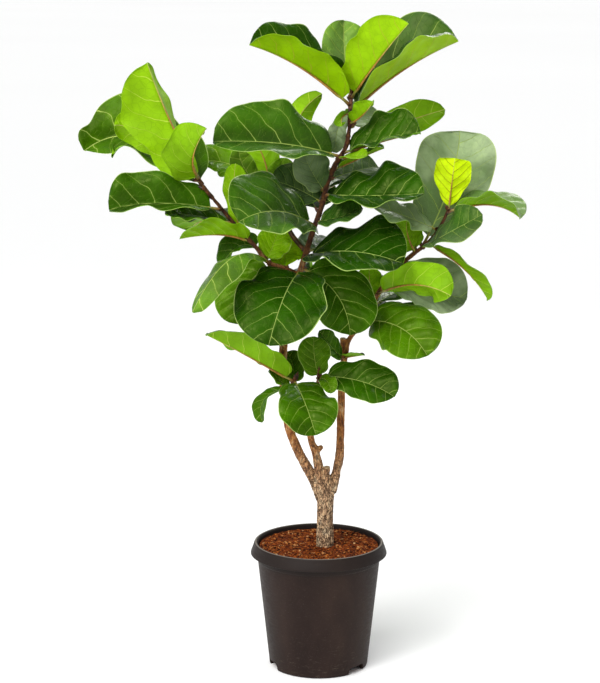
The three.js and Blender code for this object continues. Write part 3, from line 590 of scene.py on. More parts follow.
# %% Building a blade
def add_blade(mesh, midrib, number, rows, columns):
    """A grid moved to the blade's shape, and extruded into a thin closed leaf."""
    layers, uv = mesh.verts.layers, mesh.loops.layers.uv["blade"]
    made = bmesh.ops.create_grid(mesh, x_segments=rows, y_segments=columns, size=0.5)["verts"]
    grid, spread = set(made), {}
    for vert in made:
        u, s = min(max(vert.co.x + 0.5, 0), 1), -2 * vert.co.y
        vert.co, out = blade_place(midrib, number, u, s)
        spread[vert] = (u, 0.5 + math.copysign(out, s))
        vert[layers.float["edge"]] = abs(s)
        for name, value in zip(LOOK_ATTRIBUTES, midrib.looks):
            vert[layers.float[name]] = value
    faces = list({face for vert in made for face in vert.link_faces})
    for face in faces:
        face.normal_update()
        for loop in face.loops:
            loop[uv].uv = spread[loop.vert]
    lean = {}
    for vert in made:
        vert.normal_update()
        lean[vert] = vert[layers.float_vector["lean"]] = vert.normal.copy()
    grown = bmesh.ops.extrude_face_region(mesh, geom=faces)["geom"]
    upper = {g for g in grown if isinstance(g, bmesh.types.BMFace)}
    for vert in (g for g in grown if isinstance(g, bmesh.types.BMVert)):
        vert.co += THICKNESS / 2 * vert[layers.float_vector["lean"]]
    for vert in made:
        vert.co -= THICKNESS / 2 * lean[vert]
    whole = upper | {face for vert in made for face in vert.link_faces}
    for face in whole:
        face.smooth = True
        face.material_index = UPPER if face in upper else UNDER
        wall = face not in upper and not grid.issuperset(face.verts)
        if wall:  # the rim keeps its own edge, so that light doesn't bend round it
            for edge in face.edges:
                edge.smooth = False


def add_midrib(mesh, midrib, sides=8, steps=22):
    """The petiole, with a swollen foot, that runs on under the blade as its midrib."""
    line = []
    for i in range(steps + 1):
        share = MIDRIB_REACH * (i / steps) ** 1.15
        past = max(0, (share - PETIOLE_SHARE) / (1 - PETIOLE_SHARE))
        radius = PETIOLE_RADIUS * midrib.size * (1 - past) ** 1.5 + MIDRIB_TIP
        radius *= 1 + PETIOLE_SWELL * math.exp(-((share / SWELL_SHARE) ** 2))
        below = radius * 0.9 * min(1, past / FLAT_NEAR_MIDRIB)
        line.append((midrib.point(share) - midrib.directions(share)[2] * below, radius))
    add_stalk(mesh, line, sides, STALK, mesh.verts.layers.float["edge"])


print("and its widest place is at", [round(v, 3) for v in blade_place(example, 0, WIDEST, 1)[0]])

# %% [markdown]
# ## The pattern of veins
#
# Real fiddle leaves carry a stout pale midrib, five or six side veins on each half that lean and curve
# towards the tip, and a fine net between them. The blade has a map of its own, named "blade", where one
# axis runs along the midrib and the other measures the distance from it in the same unit. Lines drawn
# on that map keep their true angle on every leaf, whatever its width.

# %% Vein masks
def vein_masks(add, where, age):
    """How much a point is midrib, side vein, beside a vein, or fine net."""
    mapped = add("UVMap", uv_map="blade")
    along, across = add("SeparateXYZ", (mapped,)), add("SeparateXYZ", (mapped,), out=1)
    out = add("Math", (add("Math", (across, 0.5), operation="SUBTRACT"),), operation="ABSOLUTE")
    curve = add("Math", (out, VEIN_CURVE, VEIN_RISE), operation="MULTIPLY_ADD")
    lean = add("Math", (curve, out), operation="MULTIPLY")
    half = add("Math", (across, 0.5), operation="GREATER_THAN")
    shift = add("Math", (half, VEIN_OFFSET), operation="MULTIPLY")
    foot = add("Math", (along, lean), operation="SUBTRACT")
    phase = add("Math", (foot, VEINS, shift), operation="MULTIPLY_ADD")
    bends = add("TexNoise", {"Vector": where, "Scale": 14, "Detail": 2, "Roughness": 0.55})  # 70 mm
    wander = add("Math", (bends, 0.5), operation="SUBTRACT")
    phase = add("Math", (wander, 0.95, phase), operation="MULTIPLY_ADD")
    distance = add("Math", (phase, 0.5), operation="PINGPONG")
    stoutness = add("MapRange", (age, 0.94, 1.0, 0.032, 0.075), **EASED)  # the youngest leaf's stand out
    side_width = add("Math", (out, -0.06, stoutness), operation="MULTIPLY_ADD")
    midrib_width = add("Math", (along, -0.006, 0.0105), operation="MULTIPLY_ADD")
    # a real net's meshes are some 5 mm wide; they are drawn at 16 mm, because 5 mm doesn't show
    net = add("TexVoronoi", {"Vector": where, "Scale": 62}, feature="DISTANCE_TO_EDGE")
    return {
        "along": along,
        "midrib": add("MapRange", (out, 0.0, midrib_width, 1.0, 0.0), **EASED),
        "side": add("MapRange", (distance, 0.0, side_width, 1.0, 0.0), **EASED),
        # beside a vein: where the upper side gets its painted highlight
        "beside": add("MapRange", (distance, 0.0, 0.16, 1.0, 0.0), **EASED),
        "net": add("MapRange", (net, 0.0, 0.05, 1.0, 0.0), **EASED),
    }


print("side veins on each half of a leaf:", VEINS)

# %% [markdown]
# ## The leaf's two sides
#
# The upper side is waxy and dark, and turns from yellow-green to deep green with age; its veins are
# sunken pale lines, beside them a lighter green is a painted highlight, and pale grey-green patches are a
# painted sheen. The underside is lighter and duller and its veins stand out; its brightest greens are partly
# painted light that shines through the leaf. Each leaf carries its age, its painted sheen and the
# underside's painted glow as attributes of its mesh, so a few materials serve all of them.

# %% Upper side
UPPER_GREENS = [
    (0, "#113001"), (0.12, "#204602"), (0.3, "#4b7505"),
    (0.5, "#6f9c09"), (0.7, "#93bb0c"), (1, "#e2f500"),
]
UPPER_VEINS = [(0, "#a5bd62"), (0.4, "#c3d46a"), (0.75, "#c9cf4e"), (0.95, "#6b330b")]


def make_upper_side():
    """Living leaf under a skin of wax, which gives deep green a soft, slightly green sheen; a painted
    highlight lies beside the veins, and patches of painted sheen lie on some leaves.
    """
    made, add, shader, where = new_material("leaf_upper_side")
    # the second attribute is how much painted sheen a leaf carries
    age, painted_sheen = [add("Attribute", out="Fac", attribute_name=name) for name in ("upper_age", "painted_sheen")]
    masks = vein_masks(add, where, age)
    base = add("ValToRGB", (age,), stops=UPPER_GREENS)
    clouds = add("TexNoise", {"Vector": where, "Scale": 12, "Detail": 4, "Roughness": 0.55})  # 80 mm
    clouds = add("MapRange", (clouds, 0.3, 0.7, 0.62, 1.3), **EASED)
    base = add("HueSaturation", {"Color": base, "Value": clouds})
    pale_net_and_highlight = add("HueSaturation", {"Color": base, "Value": 1.7, "Hue": 0.485})
    # patches of painted sheen: pale grey-green that stands for the light a leaf reflects, laid where its
    # sheen value is high
    patches = add("TexNoise", {"Vector": where, "Scale": 7, "Detail": 4, "Roughness": 0.55})  # 140 mm
    patches = add("MapRange", (patches, 0.38, 0.62, 0.3, 1.0), **EASED)
    veins = add("ValToRGB", (age,), stops=UPPER_VEINS)
    edge = add("Attribute", out="Fac", attribute_name="edge")
    # beside the veins, where the blade bulges, a lighter copy of the green is a painted highlight; the fine
    # net takes the same lighter green as its own pale colour
    layers = [
        (masks["beside"], 0.45, pale_net_and_highlight), (masks["net"], 0.4, pale_net_and_highlight), (painted_sheen, patches, colour("#b2c598")),
        (masks["side"], 0.85, veins), (masks["midrib"], 0.95, veins),
    ]
    for mask, most, over in layers:
        share = add("Math", (mask, most), operation="MULTIPLY")
        base = add("Mix", {0: share, 6: base, 7: over}, **MIXED)
    edge = add("MapRange", (edge, 0.972, 0.99, 0.0, 0.75), **EASED)
    base = add("Mix", {0: edge, 6: base, 7: colour("#b3c873")}, **MIXED)
    wax = add("TexNoise", {"Vector": where, "Scale": 40, "Detail": 3, "Roughness": 0.55})  # 25 mm
    rough = add("MapRange", (wax, 0.3, 0.7, 0.24, 0.4), **EASED)
    net = add("Math", (masks["net"], -0.35), operation="MULTIPLY")
    height = add("Math", (masks["side"], -0.8, net), operation="MULTIPLY_ADD")
    height = add("Math", (height, masks["midrib"]), operation="SUBTRACT")
    dimples = add("TexNoise", {"Vector": where, "Scale": 55, "Detail": 3, "Roughness": 0.55})  # 18 mm
    height = add("Math", (dimples, 1.1, height), operation="MULTIPLY_ADD")
    finish_shader(add, shader, base, rough, height, depth=0.0013, strength=0.9, specular=0.22)
    shader.inputs["Specular Tint"].default_value = colour("#d8e880")
    return made


upper_side = make_upper_side()
print(upper_side.name, "has", len(upper_side.node_tree.nodes), "nodes")

# %% Underside
# the brightest greens at the end of this ramp are partly the underside's own pale green and partly painted
# light shining through the thin leaf from the lamps above
UNDER_GREENS_AND_GLOW = [(0, "#3f6a10"), (0.5, "#629012"), (0.78, "#7aa905"), (0.93, "#88b400"), (1, "#b6d400")]
UNDER_VEINS = [(0, "#b9cc6a"), (0.85, "#c6dc4e"), (0.95, "#a98a26"), (1, "#6b330b")]


def make_underside():
    """Living leaf without the wax: dull, lighter, with raised veins, and in its brightest greens partly
    painted light shining through it.
    """
    made, add, shader, where = new_material("leaf_underside")
    # the underside's value: its age, and how much painted light shines through it
    age = add("Attribute", out="Fac", attribute_name="under_age_and_painted_glow")
    masks = vein_masks(add, where, age)
    base = add("ValToRGB", (age,), stops=UNDER_GREENS_AND_GLOW)
    clouds = add("TexNoise", {"Vector": where, "Scale": 13, "Detail": 3, "Roughness": 0.55})  # 80 mm
    clouds = add("MapRange", (clouds, 0.3, 0.7, 0.82, 1.14), **EASED)
    base = add("HueSaturation", {"Color": base, "Value": clouds})
    dark = add("HueSaturation", {"Color": base, "Value": 0.72})
    veins = add("ValToRGB", (age,), stops=UNDER_VEINS)
    for mask, most, over in ((masks["net"], 0.4, dark), (masks["side"], 0.75, veins)):
        share = add("Math", (mask, most), operation="MULTIPLY")
        base = add("Mix", {0: share, 6: base, 7: over}, **MIXED)
    foot = add("MapRange", (masks["along"], 0.1, 0.8, 0.0, 1.0), **EASED)
    midrib = add("Mix", {0: foot, 6: colour("#8c521e"), 7: colour("#c3cf6c")}, **MIXED)
    base = add("Mix", {0: masks["midrib"], 6: base, 7: midrib}, **MIXED)
    down = add("TexNoise", {"Vector": where, "Scale": 40, "Detail": 3, "Roughness": 0.55})  # 25 mm
    rough = add("MapRange", (down, 0.3, 0.7, 0.5, 0.62), **EASED)
    net = add("Math", (masks["net"], 0.35), operation="MULTIPLY")
    height = add("Math", (masks["side"], 0.9, net), operation="MULTIPLY_ADD")
    finish_shader(add, shader, base, rough, height, depth=0.001, strength=0.7, specular=0.1)
    return made


underside = make_underside()
print(underside.name, "has", len(underside.node_tree.nodes), "nodes")

# %% Petiole, midrib and young stem
PETIOLE_BROWNS = [
    (0, "#45220f"), (0.05, "#7a5424"), (0.13, "#93953a"),
    (0.22, "#a2762c"), (0.6, "#a8702b"), (0.9, "#bdb056"),
]
YOUNG_BROWNS = [(0.28, "#1c0b06"), (0.46, "#3c1b0c"), (0.6, "#6e3f1e"), (0.72, "#6f7a26")]

# smooth green stalk with brown corky streaks of 6 by 18 mm, which are thickest at its foot
petiole_skin = make_grained(
    "petiole_skin", (160, 4, 0.35), PETIOLE_BROWNS, (0.42, 0.6), 0.0004,
    shade="edge", light=(0.65, 1.25),
)
# the first year's bark, dark and half glossy, with green showing through in patches of 11 by 18 mm
young_stem = make_grained("young_stem", (90, 5, 0.6), YOUNG_BROWNS, (0.45, 0.65), 0.0008)
LEAF_MATERIALS = [upper_side, underside, petiole_skin, young_stem]
print("leaf materials:", [made.name for made in LEAF_MATERIALS])

# %% [markdown]
# ## Putting pieces into the scene
#
# Every finished mesh goes through one function. It makes the object, gives it its finishes, seats it on
# the plant's one body, and hides the imported solid that it stands for.

# %% Placing a piece
def place_piece(name, mesh, node, materials):
    """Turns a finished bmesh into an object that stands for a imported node."""
    piece = new_object(name, mesh)
    for material in materials:
        piece.data.materials.append(material)
    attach(piece, "root")
    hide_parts(node)
    return piece


# %% [markdown]
# ## Papery scales
#
# Where a young leaf opens, the sheath that covered it dries to a narrow brown scale. They stand at the
# stem's tips and beside the petioles. Each is a small grid, drawn in to a point and curled back.

# %% One scale
SCALE_THICKNESS = 0.0006


def add_scale(mesh, foot, along, length, width, curl, material):
    """A dry scale that stands at foot and points along."""
    along = along.normalized()
    side, out = square_to(along)
    grid = bmesh.ops.create_grid(mesh, x_segments=7, y_segments=2, size=0.5)["verts"]
    for vert in grid:
        u, s = vert.co.x + 0.5, 2 * vert.co.y
        half = width / 2 * math.sin(math.pi * min(0.97, 0.25 + 0.75 * u)) ** 0.8
        vert.co = foot + along * length * u + side * half * s + out * (curl * u * u + 0.3 * half * s * s)
    faces = list({face for vert in grid for face in vert.link_faces})
    grown = bmesh.ops.extrude_face_region(mesh, geom=faces)["geom"]
    lifted = [g for g in grown if isinstance(g, bmesh.types.BMVert)]
    bmesh.ops.translate(mesh, verts=lifted, vec=out * SCALE_THICKNESS)
    whole = list({face for vert in (*grid, *lifted) for face in vert.link_faces})
    bmesh.ops.recalc_face_normals(mesh, faces=whole)
    smooth_faces(whole, material)


print("a scale is", SCALE_THICKNESS * 1000, "mm thick")

# %% [markdown]
# ## All the leaves
#
# One object is made for each imported node. Most hold one leaf; a shoot's object holds its short stem,
# its crowded small leaves and the dry sheath at its tip.

# %% Growing the leaves
# the looks of a leaf as attributes: the upper side's age, the underside's age with its painted glow, and its
# painted sheen
LOOK_ATTRIBUTES = ("upper_age", "under_age_and_painted_glow", "painted_sheen")
LARGE_LEAF = 0.1  # width from which a leaf gets the finer grid
FINE_GRID, COARSE_GRID, SHOOT_SIDES = (58, 28), (36, 18), 14
SHEATHS, SHEATH_SIZE = 3, (0.026, 0.008, 0.002)  # length, width and curl at a shoot's tip
SCALES, SCALE_LENGTHS, SCALE_WIDTH, SCALE_CURLS = 2, (0.007, 0.015), 0.008, (0.001, 0.006)  # at a petiole
draw = random.Random(7)


def new_leaf_mesh():
    mesh = bmesh.new()
    mesh.loops.layers.uv.new("blade")
    mesh.verts.layers.float_vector.new("lean")
    for name in ("edge", *LOOK_ATTRIBUTES):
        mesh.verts.layers.float.new(name)
    return mesh


nodes = {}
for number, row in enumerate(LEAVES):
    nodes.setdefault(row[0], []).append((number, row))

triangles = 0
for node, rows in nodes.items():
    mesh = new_leaf_mesh()
    for name, (grown, _) in STEMS.items():
        if grown == node:
            add_stalk(mesh, LINES[name][::2], SHOOT_SIDES, WOOD)
            tip, before = LINES[name][-1][0], LINES[name][-8][0]
            growth = tip - before
            for _ in range(SHEATHS):
                lean = Vector((draw.uniform(-0.5, 0.5), draw.uniform(-0.5, 0.2), 0))
                add_scale(mesh, tip - growth * 0.2, growth.normalized() + lean, *SHEATH_SIZE, WOOD)
    for number, row in rows:
        midrib = Midrib(row)
        add_blade(mesh, midrib, number, *(FINE_GRID if midrib.width >= LARGE_LEAF else COARSE_GRID))
        add_midrib(mesh, midrib)
        for _ in range(SCALES):
            away = midrib.directions(0)[0] + Vector([draw.uniform(-0.8, 0.8) for _ in range(3)])
            foot = midrib.start + away.normalized() * 0.002
            length, curl = draw.uniform(*SCALE_LENGTHS), draw.uniform(*SCALE_CURLS)
            add_scale(mesh, foot, away, length, SCALE_WIDTH, curl, WOOD)
    mesh.verts.layers.float_vector.remove(mesh.verts.layers.float_vector["lean"])
    piece = place_piece(node + "_grown", mesh, node, LEAF_MATERIALS)
    triangles += sum(len(p.vertices) - 2 for p in piece.data.polygons)
print(len(nodes), "leaf objects,", triangles, "triangles")

# %% [markdown]
# ## Bark
#
# The three stems, the fork and the sawn stump are one woody piece. Their round stalks are merged by
# voxel remeshing, which skins them with small even faces, and then each point is pushed in or out:
# long furrows low down, where the bark is old, and rings of leaf scars higher up.

# %% Bark material
OLD_BARK = [(0.3, "#86684d"), (0.42, "#b8926e"), (0.55, "#d6b48c"), (0.7, "#e3cfae")]
TAN_BARK = [(0.3, "#502810"), (0.42, "#925426"), (0.54, "#bd7d42"), (0.68, "#cfae86")]
RED_BARK = [(0.3, "#1c0b06"), (0.46, "#3a1a0c"), (0.6, "#6e4220"), (0.72, "#6d7826")]


def make_bark():
    """Grown bark, dry and matt: pale and cracked into plates low down, tan, then red-brown."""
    made, add, shader, where = new_material("fig_bark")
    height = add("SeparateXYZ", (where,), out=2)
    tall, taller = [add("Mapping", {"Vector": where, "Scale": (1, 1, z)}) for z in (0.5, 0.2)]
    flat = add("Mapping", {"Vector": where, "Scale": (0.25, 0.25, 1)})
    patches = add("TexNoise", {"Vector": tall, "Scale": 75, "Detail": 6, "Roughness": 0.7})  # 13 by 26 mm
    # real fissures are some 1 mm wide; they are drawn at 3 by 15 mm, so that they show
    fissures = add("TexNoise", {"Vector": taller, "Scale": 330, "Detail": 4, "Roughness": 0.6})
    wobble = add("TexNoise", {"Vector": where, "Scale": 60.0}, out="Color")  # 17 mm
    bent = add("VectorMath", (wobble, (0.02, 0.02, 0.0), where), operation="MULTIPLY_ADD")
    bent = add("Mapping", {"Vector": bent, "Scale": (1, 1, 0.22)})
    plates = add("TexVoronoi", {"Vector": bent, "Scale": 230}, feature="DISTANCE_TO_EDGE")  # 4 by 20 mm
    scars = add("TexNoise", {"Vector": flat, "Scale": 170, "Detail": 3, "Roughness": 0.6})  # 6 mm rings
    old, tan, red = [add("ValToRGB", (patches,), stops=stops) for stops in (OLD_BARK, TAN_BARK, RED_BARK)]
    crack = add("MapRange", (plates, 0.0, 0.16, 0.9, 0.0), **EASED)
    lower = add("MapRange", (height, 0.4, 0.6, 1.0, 0.25), **EASED)
    crack = add("Math", (crack, lower), operation="MULTIPLY")
    base = old
    layers = [
        (add("MapRange", (height, 0.36, 0.54), **EASED), tan),
        (add("MapRange", (height, 0.8, 1.0), **EASED), red),
        (crack, colour("#3d2a1b")),
        (add("MapRange", (fissures, 0.36, 0.48, 0.7, 0.0), **EASED), colour("#2c1a0f")),
        (add("MapRange", (scars, 0.6, 0.68, 0.0, 0.75), **EASED), colour("#2f1b10")),
    ]
    for share, over in layers:
        base = add("Mix", {0: share, 6: base, 7: over}, **MIXED)
    relief = add("Math", (scars, -0.8, fissures), operation="MULTIPLY_ADD")
    relief = add("Math", (crack, -0.8, relief), operation="MULTIPLY_ADD")
    rough = add("MapRange", (patches, 0.3, 0.7, 0.7, 0.9), **EASED)
    finish_shader(add, shader, base, rough, relief, depth=0.003, specular=0.3)
    return made


fig_bark = make_bark()
print(fig_bark.name, "has", len(fig_bark.node_tree.nodes), "nodes")

# %% The trunk and its stems
BARK_VOXEL, STEM_SIDES = 0.0019, 20


def bark_relief(place):
    """How far the bark stands out: furrows 5 by 24 mm, lumps 17 by 36 mm and scars 10 mm apart."""
    old = min(max((0.62 - place.z) / 0.25, 0), 1)
    furrow = 1 - abs(noise.noise(Vector((place.x * 210, place.y * 210, place.z * 42))))
    lump = noise.noise(Vector((place.x * 60, place.y * 60, place.z * 28)))
    scar = noise.noise(Vector((0, 0, place.z * 95 + place.x * 8)))
    rings = max(0, scar - 0.35) * 0.003 * (1 - old)
    return (0.0005 + 0.0013 * old) * (furrow - 0.8) * 2 + 0.0013 * lump + rings


def remeshed(mesh, voxel):
    """The mesh skinned again with even faces."""
    shape = new_object("skin", mesh)
    skin = shape.modifiers.new("skin", "REMESH")
    skin.mode, skin.voxel_size = "VOXEL", voxel
    done = bmesh.new()
    done.from_object(shape, bpy.context.evaluated_depsgraph_get())
    bpy.data.objects.remove(shape)
    return done


mesh = bmesh.new()
for name, (grown, _) in STEMS.items():
    if grown == "trunk":
        add_stalk(mesh, LINES[name][::2], STEM_SIDES, 0)
mesh = remeshed(mesh, BARK_VOXEL)
bmesh.ops.smooth_vert(mesh, verts=mesh.verts, factor=0.5, use_axis_x=True, use_axis_y=True, use_axis_z=True)
mesh.normal_update()
moves = [(vert, vert.normal * bark_relief(vert.co)) for vert in mesh.verts]
for vert, move in moves:
    vert.co += move
smooth_faces(mesh.faces)
bark = place_piece("bark_of_trunk_and_stems", mesh, "trunk", [fig_bark])
print("bark:", len(bark.data.polygons), "faces")

# %% [markdown]
# ## The sawn stump
#
# A stem was cut off at the fork when the plant was young, and another on the right stem. Their cut
# faces are pale with a dark hollow pith. Each is a small disc, inset and pushed in at its middle.

# %% Cut faces
CUT_WOOD = [(0.3, "#6d5238"), (0.55, "#a48660"), (0.75, "#c9b08a")]
PITH = [(0.3, "#120c08"), (0.7, "#2c1d13")]
CUT_MATERIALS = [  # sawn wood and its pith are matt, with a grain of 2 mm
    make_grained("cut_wood", (400, 3, 1), CUT_WOOD, (0.75, 0.95), 0.0006),
    make_grained("dark_pith", (500, 3, 1), PITH, (0.85, 1.0), 0.0005),
]
CUT_SIDES, CUT_SHARE, RING_SHARE = 24, 0.93, 0.42  # the disc, and the ring round its pith, as shares
CUT_SINK, CUT_RISE = 0.0015, 0.0028

mesh = bmesh.new()
for name, hollow in (("stump", 0.0045), ("right_stub", 0.002)):
    (end, radius), (before, _) = LINES[name][-1], LINES[name][-4]
    along = (end - before).normalized()
    ring = bmesh.ops.create_circle(mesh, cap_ends=True, radius=1, segments=CUT_SIDES)["verts"]
    move_ring(ring, end - along * CUT_SINK, along, radius * CUT_SHARE, CUT_SIDES)
    cap = next(face for face in ring[0].link_faces if len(face.verts) == CUT_SIDES)
    wall = bmesh.ops.extrude_face_region(mesh, geom=[cap])["geom"]
    cap = next(g for g in wall if isinstance(g, bmesh.types.BMFace))
    for vert in cap.verts:
        vert.co += along * CUT_RISE
    bmesh.ops.inset_region(mesh, faces=[cap], thickness=radius * RING_SHARE, depth=0)
    inner = bmesh.ops.extrude_face_region(mesh, geom=[cap])["geom"]
    for g in inner:
        if isinstance(g, bmesh.types.BMVert):
            g.co -= along * hollow
        if isinstance(g, bmesh.types.BMFace):
            g.material_index = 1
bmesh.ops.recalc_face_normals(mesh, faces=mesh.faces)
place_piece("cut_faces", mesh, "trunk", CUT_MATERIALS)
print("cut faces on the stump and the right stem")

# %% [markdown]
# ## The nursery pot
#
# Such a pot is moulded in one thin wall. Its section is drawn once, from the middle of the base out to
# the foot, up the outside, over the rolled rim and down the inside, and spun round the axis. The
# drainage notches at the foot and the holes in the base are then cut out of it.

# %% Pot plastic
def make_pot_plastic():
    """Recycled polypropylene, moulded: brown-black and matt, with a painted highlight along the crest of the
    lip, dusty low down.
    """
    made, add, shader, where = new_material("recycled_pot_plastic")
    tall, flat = [add("Mapping", {"Vector": where, "Scale": (1, 1, z)}) for z in (0.5, 3.5)]
    cloud = add("TexNoise", {"Vector": tall, "Scale": 9, "Detail": 4, "Roughness": 0.55})  # 110 mm
    # real specks in such plastic are under 1 mm; they are drawn at 2.4 mm, so that they show
    speck = add("TexNoise", {"Vector": where, "Scale": 420, "Detail": 2, "Roughness": 0.55})
    scuff = add("TexNoise", {"Vector": flat, "Scale": 60, "Detail": 5, "Roughness": 0.7})  # 17 by 5 mm
    height = add("SeparateXYZ", (where,), out=2)
    worn = add("MapRange", (scuff, 0.55, 0.75), **EASED)
    low = add("MapRange", (height, 0.0, 0.12, 0.35, 0.06), **EASED)
    base = add("ValToRGB", (cloud,), stops=[(0.3, "#1d1310"), (0.55, "#271b17"), (0.8, "#33251e")])
    layers = [
        (add("MapRange", (speck, 0.6, 0.75, 0.0, 0.2), **EASED), "#5c5348"),
        (add("MapRange", (height, 0.236, 0.252, 0.0, 0.65), **EASED), "#211c1a"),  # the rim lip
        # a paler line along the crest of the rim is a painted highlight
        (add("MapRange", (height, 0.2836, 0.285, 0.0, 0.75), **EASED), "#7d766d"),  # its crest
        (add("Math", (worn, low), operation="MULTIPLY"), "#6d6255"),
    ]
    for share, code in layers:
        base = add("Mix", {0: share, 6: base, 7: colour(code)}, **MIXED)
    rough = add("MapRange", (scuff, 0.3, 0.7, 0.46, 0.6), **EASED)
    fine = add("Math", (speck, 0.4), operation="MULTIPLY")
    relief = add("Math", (cloud, 1.5, fine), operation="MULTIPLY_ADD")
    finish_shader(add, shader, base, rough, relief, depth=0.0006, strength=0.6, specular=0.12)
    return made


pot_plastic = make_pot_plastic()
print(pot_plastic.name, "has", len(pot_plastic.node_tree.nodes), "nodes")

# %% The pot's shape
POT_HEIGHT, BASE_RISE = 0.285, 0.008
POT_SECTION = [
    (0, 0), (0.0245, 0), (0.025, 0.0005), (0.028, 0.0078), (0.0285, BASE_RISE), (0.1015, BASE_RISE),
    (0.1018, 0.0074), (0.1024, 0.0004), (0.103, 0), (0.1065, 0), (0.1082, 0.0004), (0.1098, 0.0016),
    (0.1107, 0.0035), (0.111, 0.006), (0.1367, 0.243), (0.137, 0.2445), (0.1385, 0.2456), (0.139, 0.247),
    (0.139, 0.2695), (0.1396, 0.2712), (0.142, 0.273), (0.1455, 0.2686), (0.1499, 0.2592), (0.1502, 0.2585),
    (0.1516, 0.2583), (0.1524, 0.2589), (0.1523, 0.2605), (0.1487, 0.2706), (0.1462, 0.277),
    (0.1451, 0.2808), (0.1443, 0.283), (0.1432, 0.2843), (0.1418, POT_HEIGHT), (0.1402, 0.2848),
    (0.1388, 0.2838), (0.1377, 0.2822), (0.1366, 0.281), (0.1361, 0.262), (0.1345, 0.2445),
    (0.1087, 0.0128), (0.1078, 0.0112), (0.1065, 0.0105), (0, 0.0105),
]
NOTCH_SIZE, NOTCH_CIRCLE, NOTCH_ROUNDING = (0.05, 0.03, 0.032), 0.1075, 0.008
NOTCH_TURNS = (50, 170, 290)  # degrees from the front, towards +X
HOLE_CIRCLE, HOLE_RADIUS, HOLES = 0.072, 0.005, 6
POT_SIDES, SHARP_ANGLE = 168, math.radians(40)


def spun(section, sides):
    """A section of (radius, height) points spun round the axis and closed."""
    mesh = bmesh.new()
    verts = [mesh.verts.new((radius, 0, height)) for radius, height in section]
    edges = [mesh.edges.new(pair) for pair in zip(verts, verts[1:])]
    about = {"axis": (0, 0, 1), "cent": (0, 0, 0), "angle": 2 * math.pi}
    bmesh.ops.spin(mesh, geom=[*verts, *edges], steps=sides, use_merge=True, **about)
    bmesh.ops.remove_doubles(mesh, verts=mesh.verts, dist=1e-6)
    bmesh.ops.recalc_face_normals(mesh, faces=mesh.faces)
    return mesh


cutters = []
for degrees in NOTCH_TURNS:
    mesh = bmesh.new()
    bmesh.ops.create_cube(mesh, size=1)
    bmesh.ops.scale(mesh, verts=mesh.verts, vec=NOTCH_SIZE)
    upright = [e for e in mesh.edges if abs(e.verts[0].co.y - e.verts[1].co.y) > 0.01]
    rounding = {"offset": NOTCH_ROUNDING, "segments": 5, "profile": 0.5, "affect": "EDGES", "material": -1}
    bmesh.ops.bevel(mesh, geom=upright, **rounding)
    for vert in mesh.verts:
        vert.co.x, vert.co.y = turned(vert.co.x, vert.co.y - NOTCH_CIRCLE, math.radians(degrees))
    cutters.append(new_object("cutter", mesh))
for i in range(HOLES):
    mesh = bmesh.new()
    radii = {"radius1": HOLE_RADIUS, "radius2": HOLE_RADIUS}
    bmesh.ops.create_cone(mesh, cap_ends=True, segments=24, depth=4 * BASE_RISE, **radii)
    centre = turned(HOLE_CIRCLE, 0, 2 * math.pi * i / HOLES)
    bmesh.ops.translate(mesh, verts=mesh.verts, vec=(*centre, 0))
    cutters.append(new_object("cutter", mesh))

blank = new_object("pot_blank", spun(POT_SECTION, POT_SIDES))
for shape in cutters:
    cut = blank.modifiers.new("cut", "BOOLEAN")
    cut.operation, cut.solver, cut.object = "DIFFERENCE", "EXACT", shape
mesh = bmesh.new()
mesh.from_object(blank, bpy.context.evaluated_depsgraph_get())
for shape in (*cutters, blank):
    bpy.data.objects.remove(shape)
smooth_faces(mesh.faces)
for edge in mesh.edges:
    edge.smooth = edge.is_manifold and edge.calc_face_angle(0) < SHARP_ANGLE
pot = place_piece("nursery_pot", mesh, "pot", [pot_plastic])
print("pot:", len(pot.data.polygons), "faces")

# %% [markdown]
# ## Soil
#
# The potting mix is loose: lumps of peat, chips of coco husk and fibres. The top starts as rings that
# are raised by noise, from coarse mounds to fine crumbs. Chips and fibres are scattered on it with a
# seeded draw, each a few faces only, because there are hundreds.

# %% Potting mix
SOIL_TOP, SOIL_RADIUS = 0.2745, 0.1335
SOIL_RINGS, SOIL_SIDES = 58, 150
TOP_FROM = 0.27  # the side of the soil lies lower, and its top higher
CLOD_BROWNS = [(0.37, "#110500"), (0.46, "#3f1704"), (0.54, "#72320b"), (0.65, "#aa6224")]


def soil_height(x, y):
    """The soil's top at a place: mounds of 45 mm, lumps of 10 mm, and crumbs of 4 and 2 mm."""
    place = Vector((x, y, 0))
    mounds = 0.0022 * noise.noise(place * 22)
    lumps = 0.0022 * noise.noise(place * 95 + Vector((5, 0, 0)))
    crumbs = 0.0012 * noise.noise(place * 260) + 0.0007 * noise.noise(place * 520)
    return SOIL_TOP + mounds + lumps + crumbs


def make_potting_mix():
    """Coco coir and peat, moist: rough, almost without sheen, with dark gaps between pale crumbs."""
    made, add, shader, where = new_material("coco_potting_mix")
    clods = add("TexNoise", {"Vector": where, "Scale": 120, "Detail": 6, "Roughness": 0.8})  # 8 mm
    grit = add("TexVoronoi", {"Vector": where, "Scale": 260}, out="Color")  # 4 mm
    grey = add("HueSaturation", {"Color": grit, "Saturation": 0.0, "Value": 0.9})
    base = add("ValToRGB", (clods,), stops=CLOD_BROWNS)
    base = add("Mix", {0: 0.5, 6: base, 7: grey}, blend_type="OVERLAY", **MIXED)
    rough = add("MapRange", (clods, 0.3, 0.7, 0.85, 1.0), **EASED)
    finish_shader(add, shader, base, rough, clods, depth=0.004, specular=0.1)
    return made


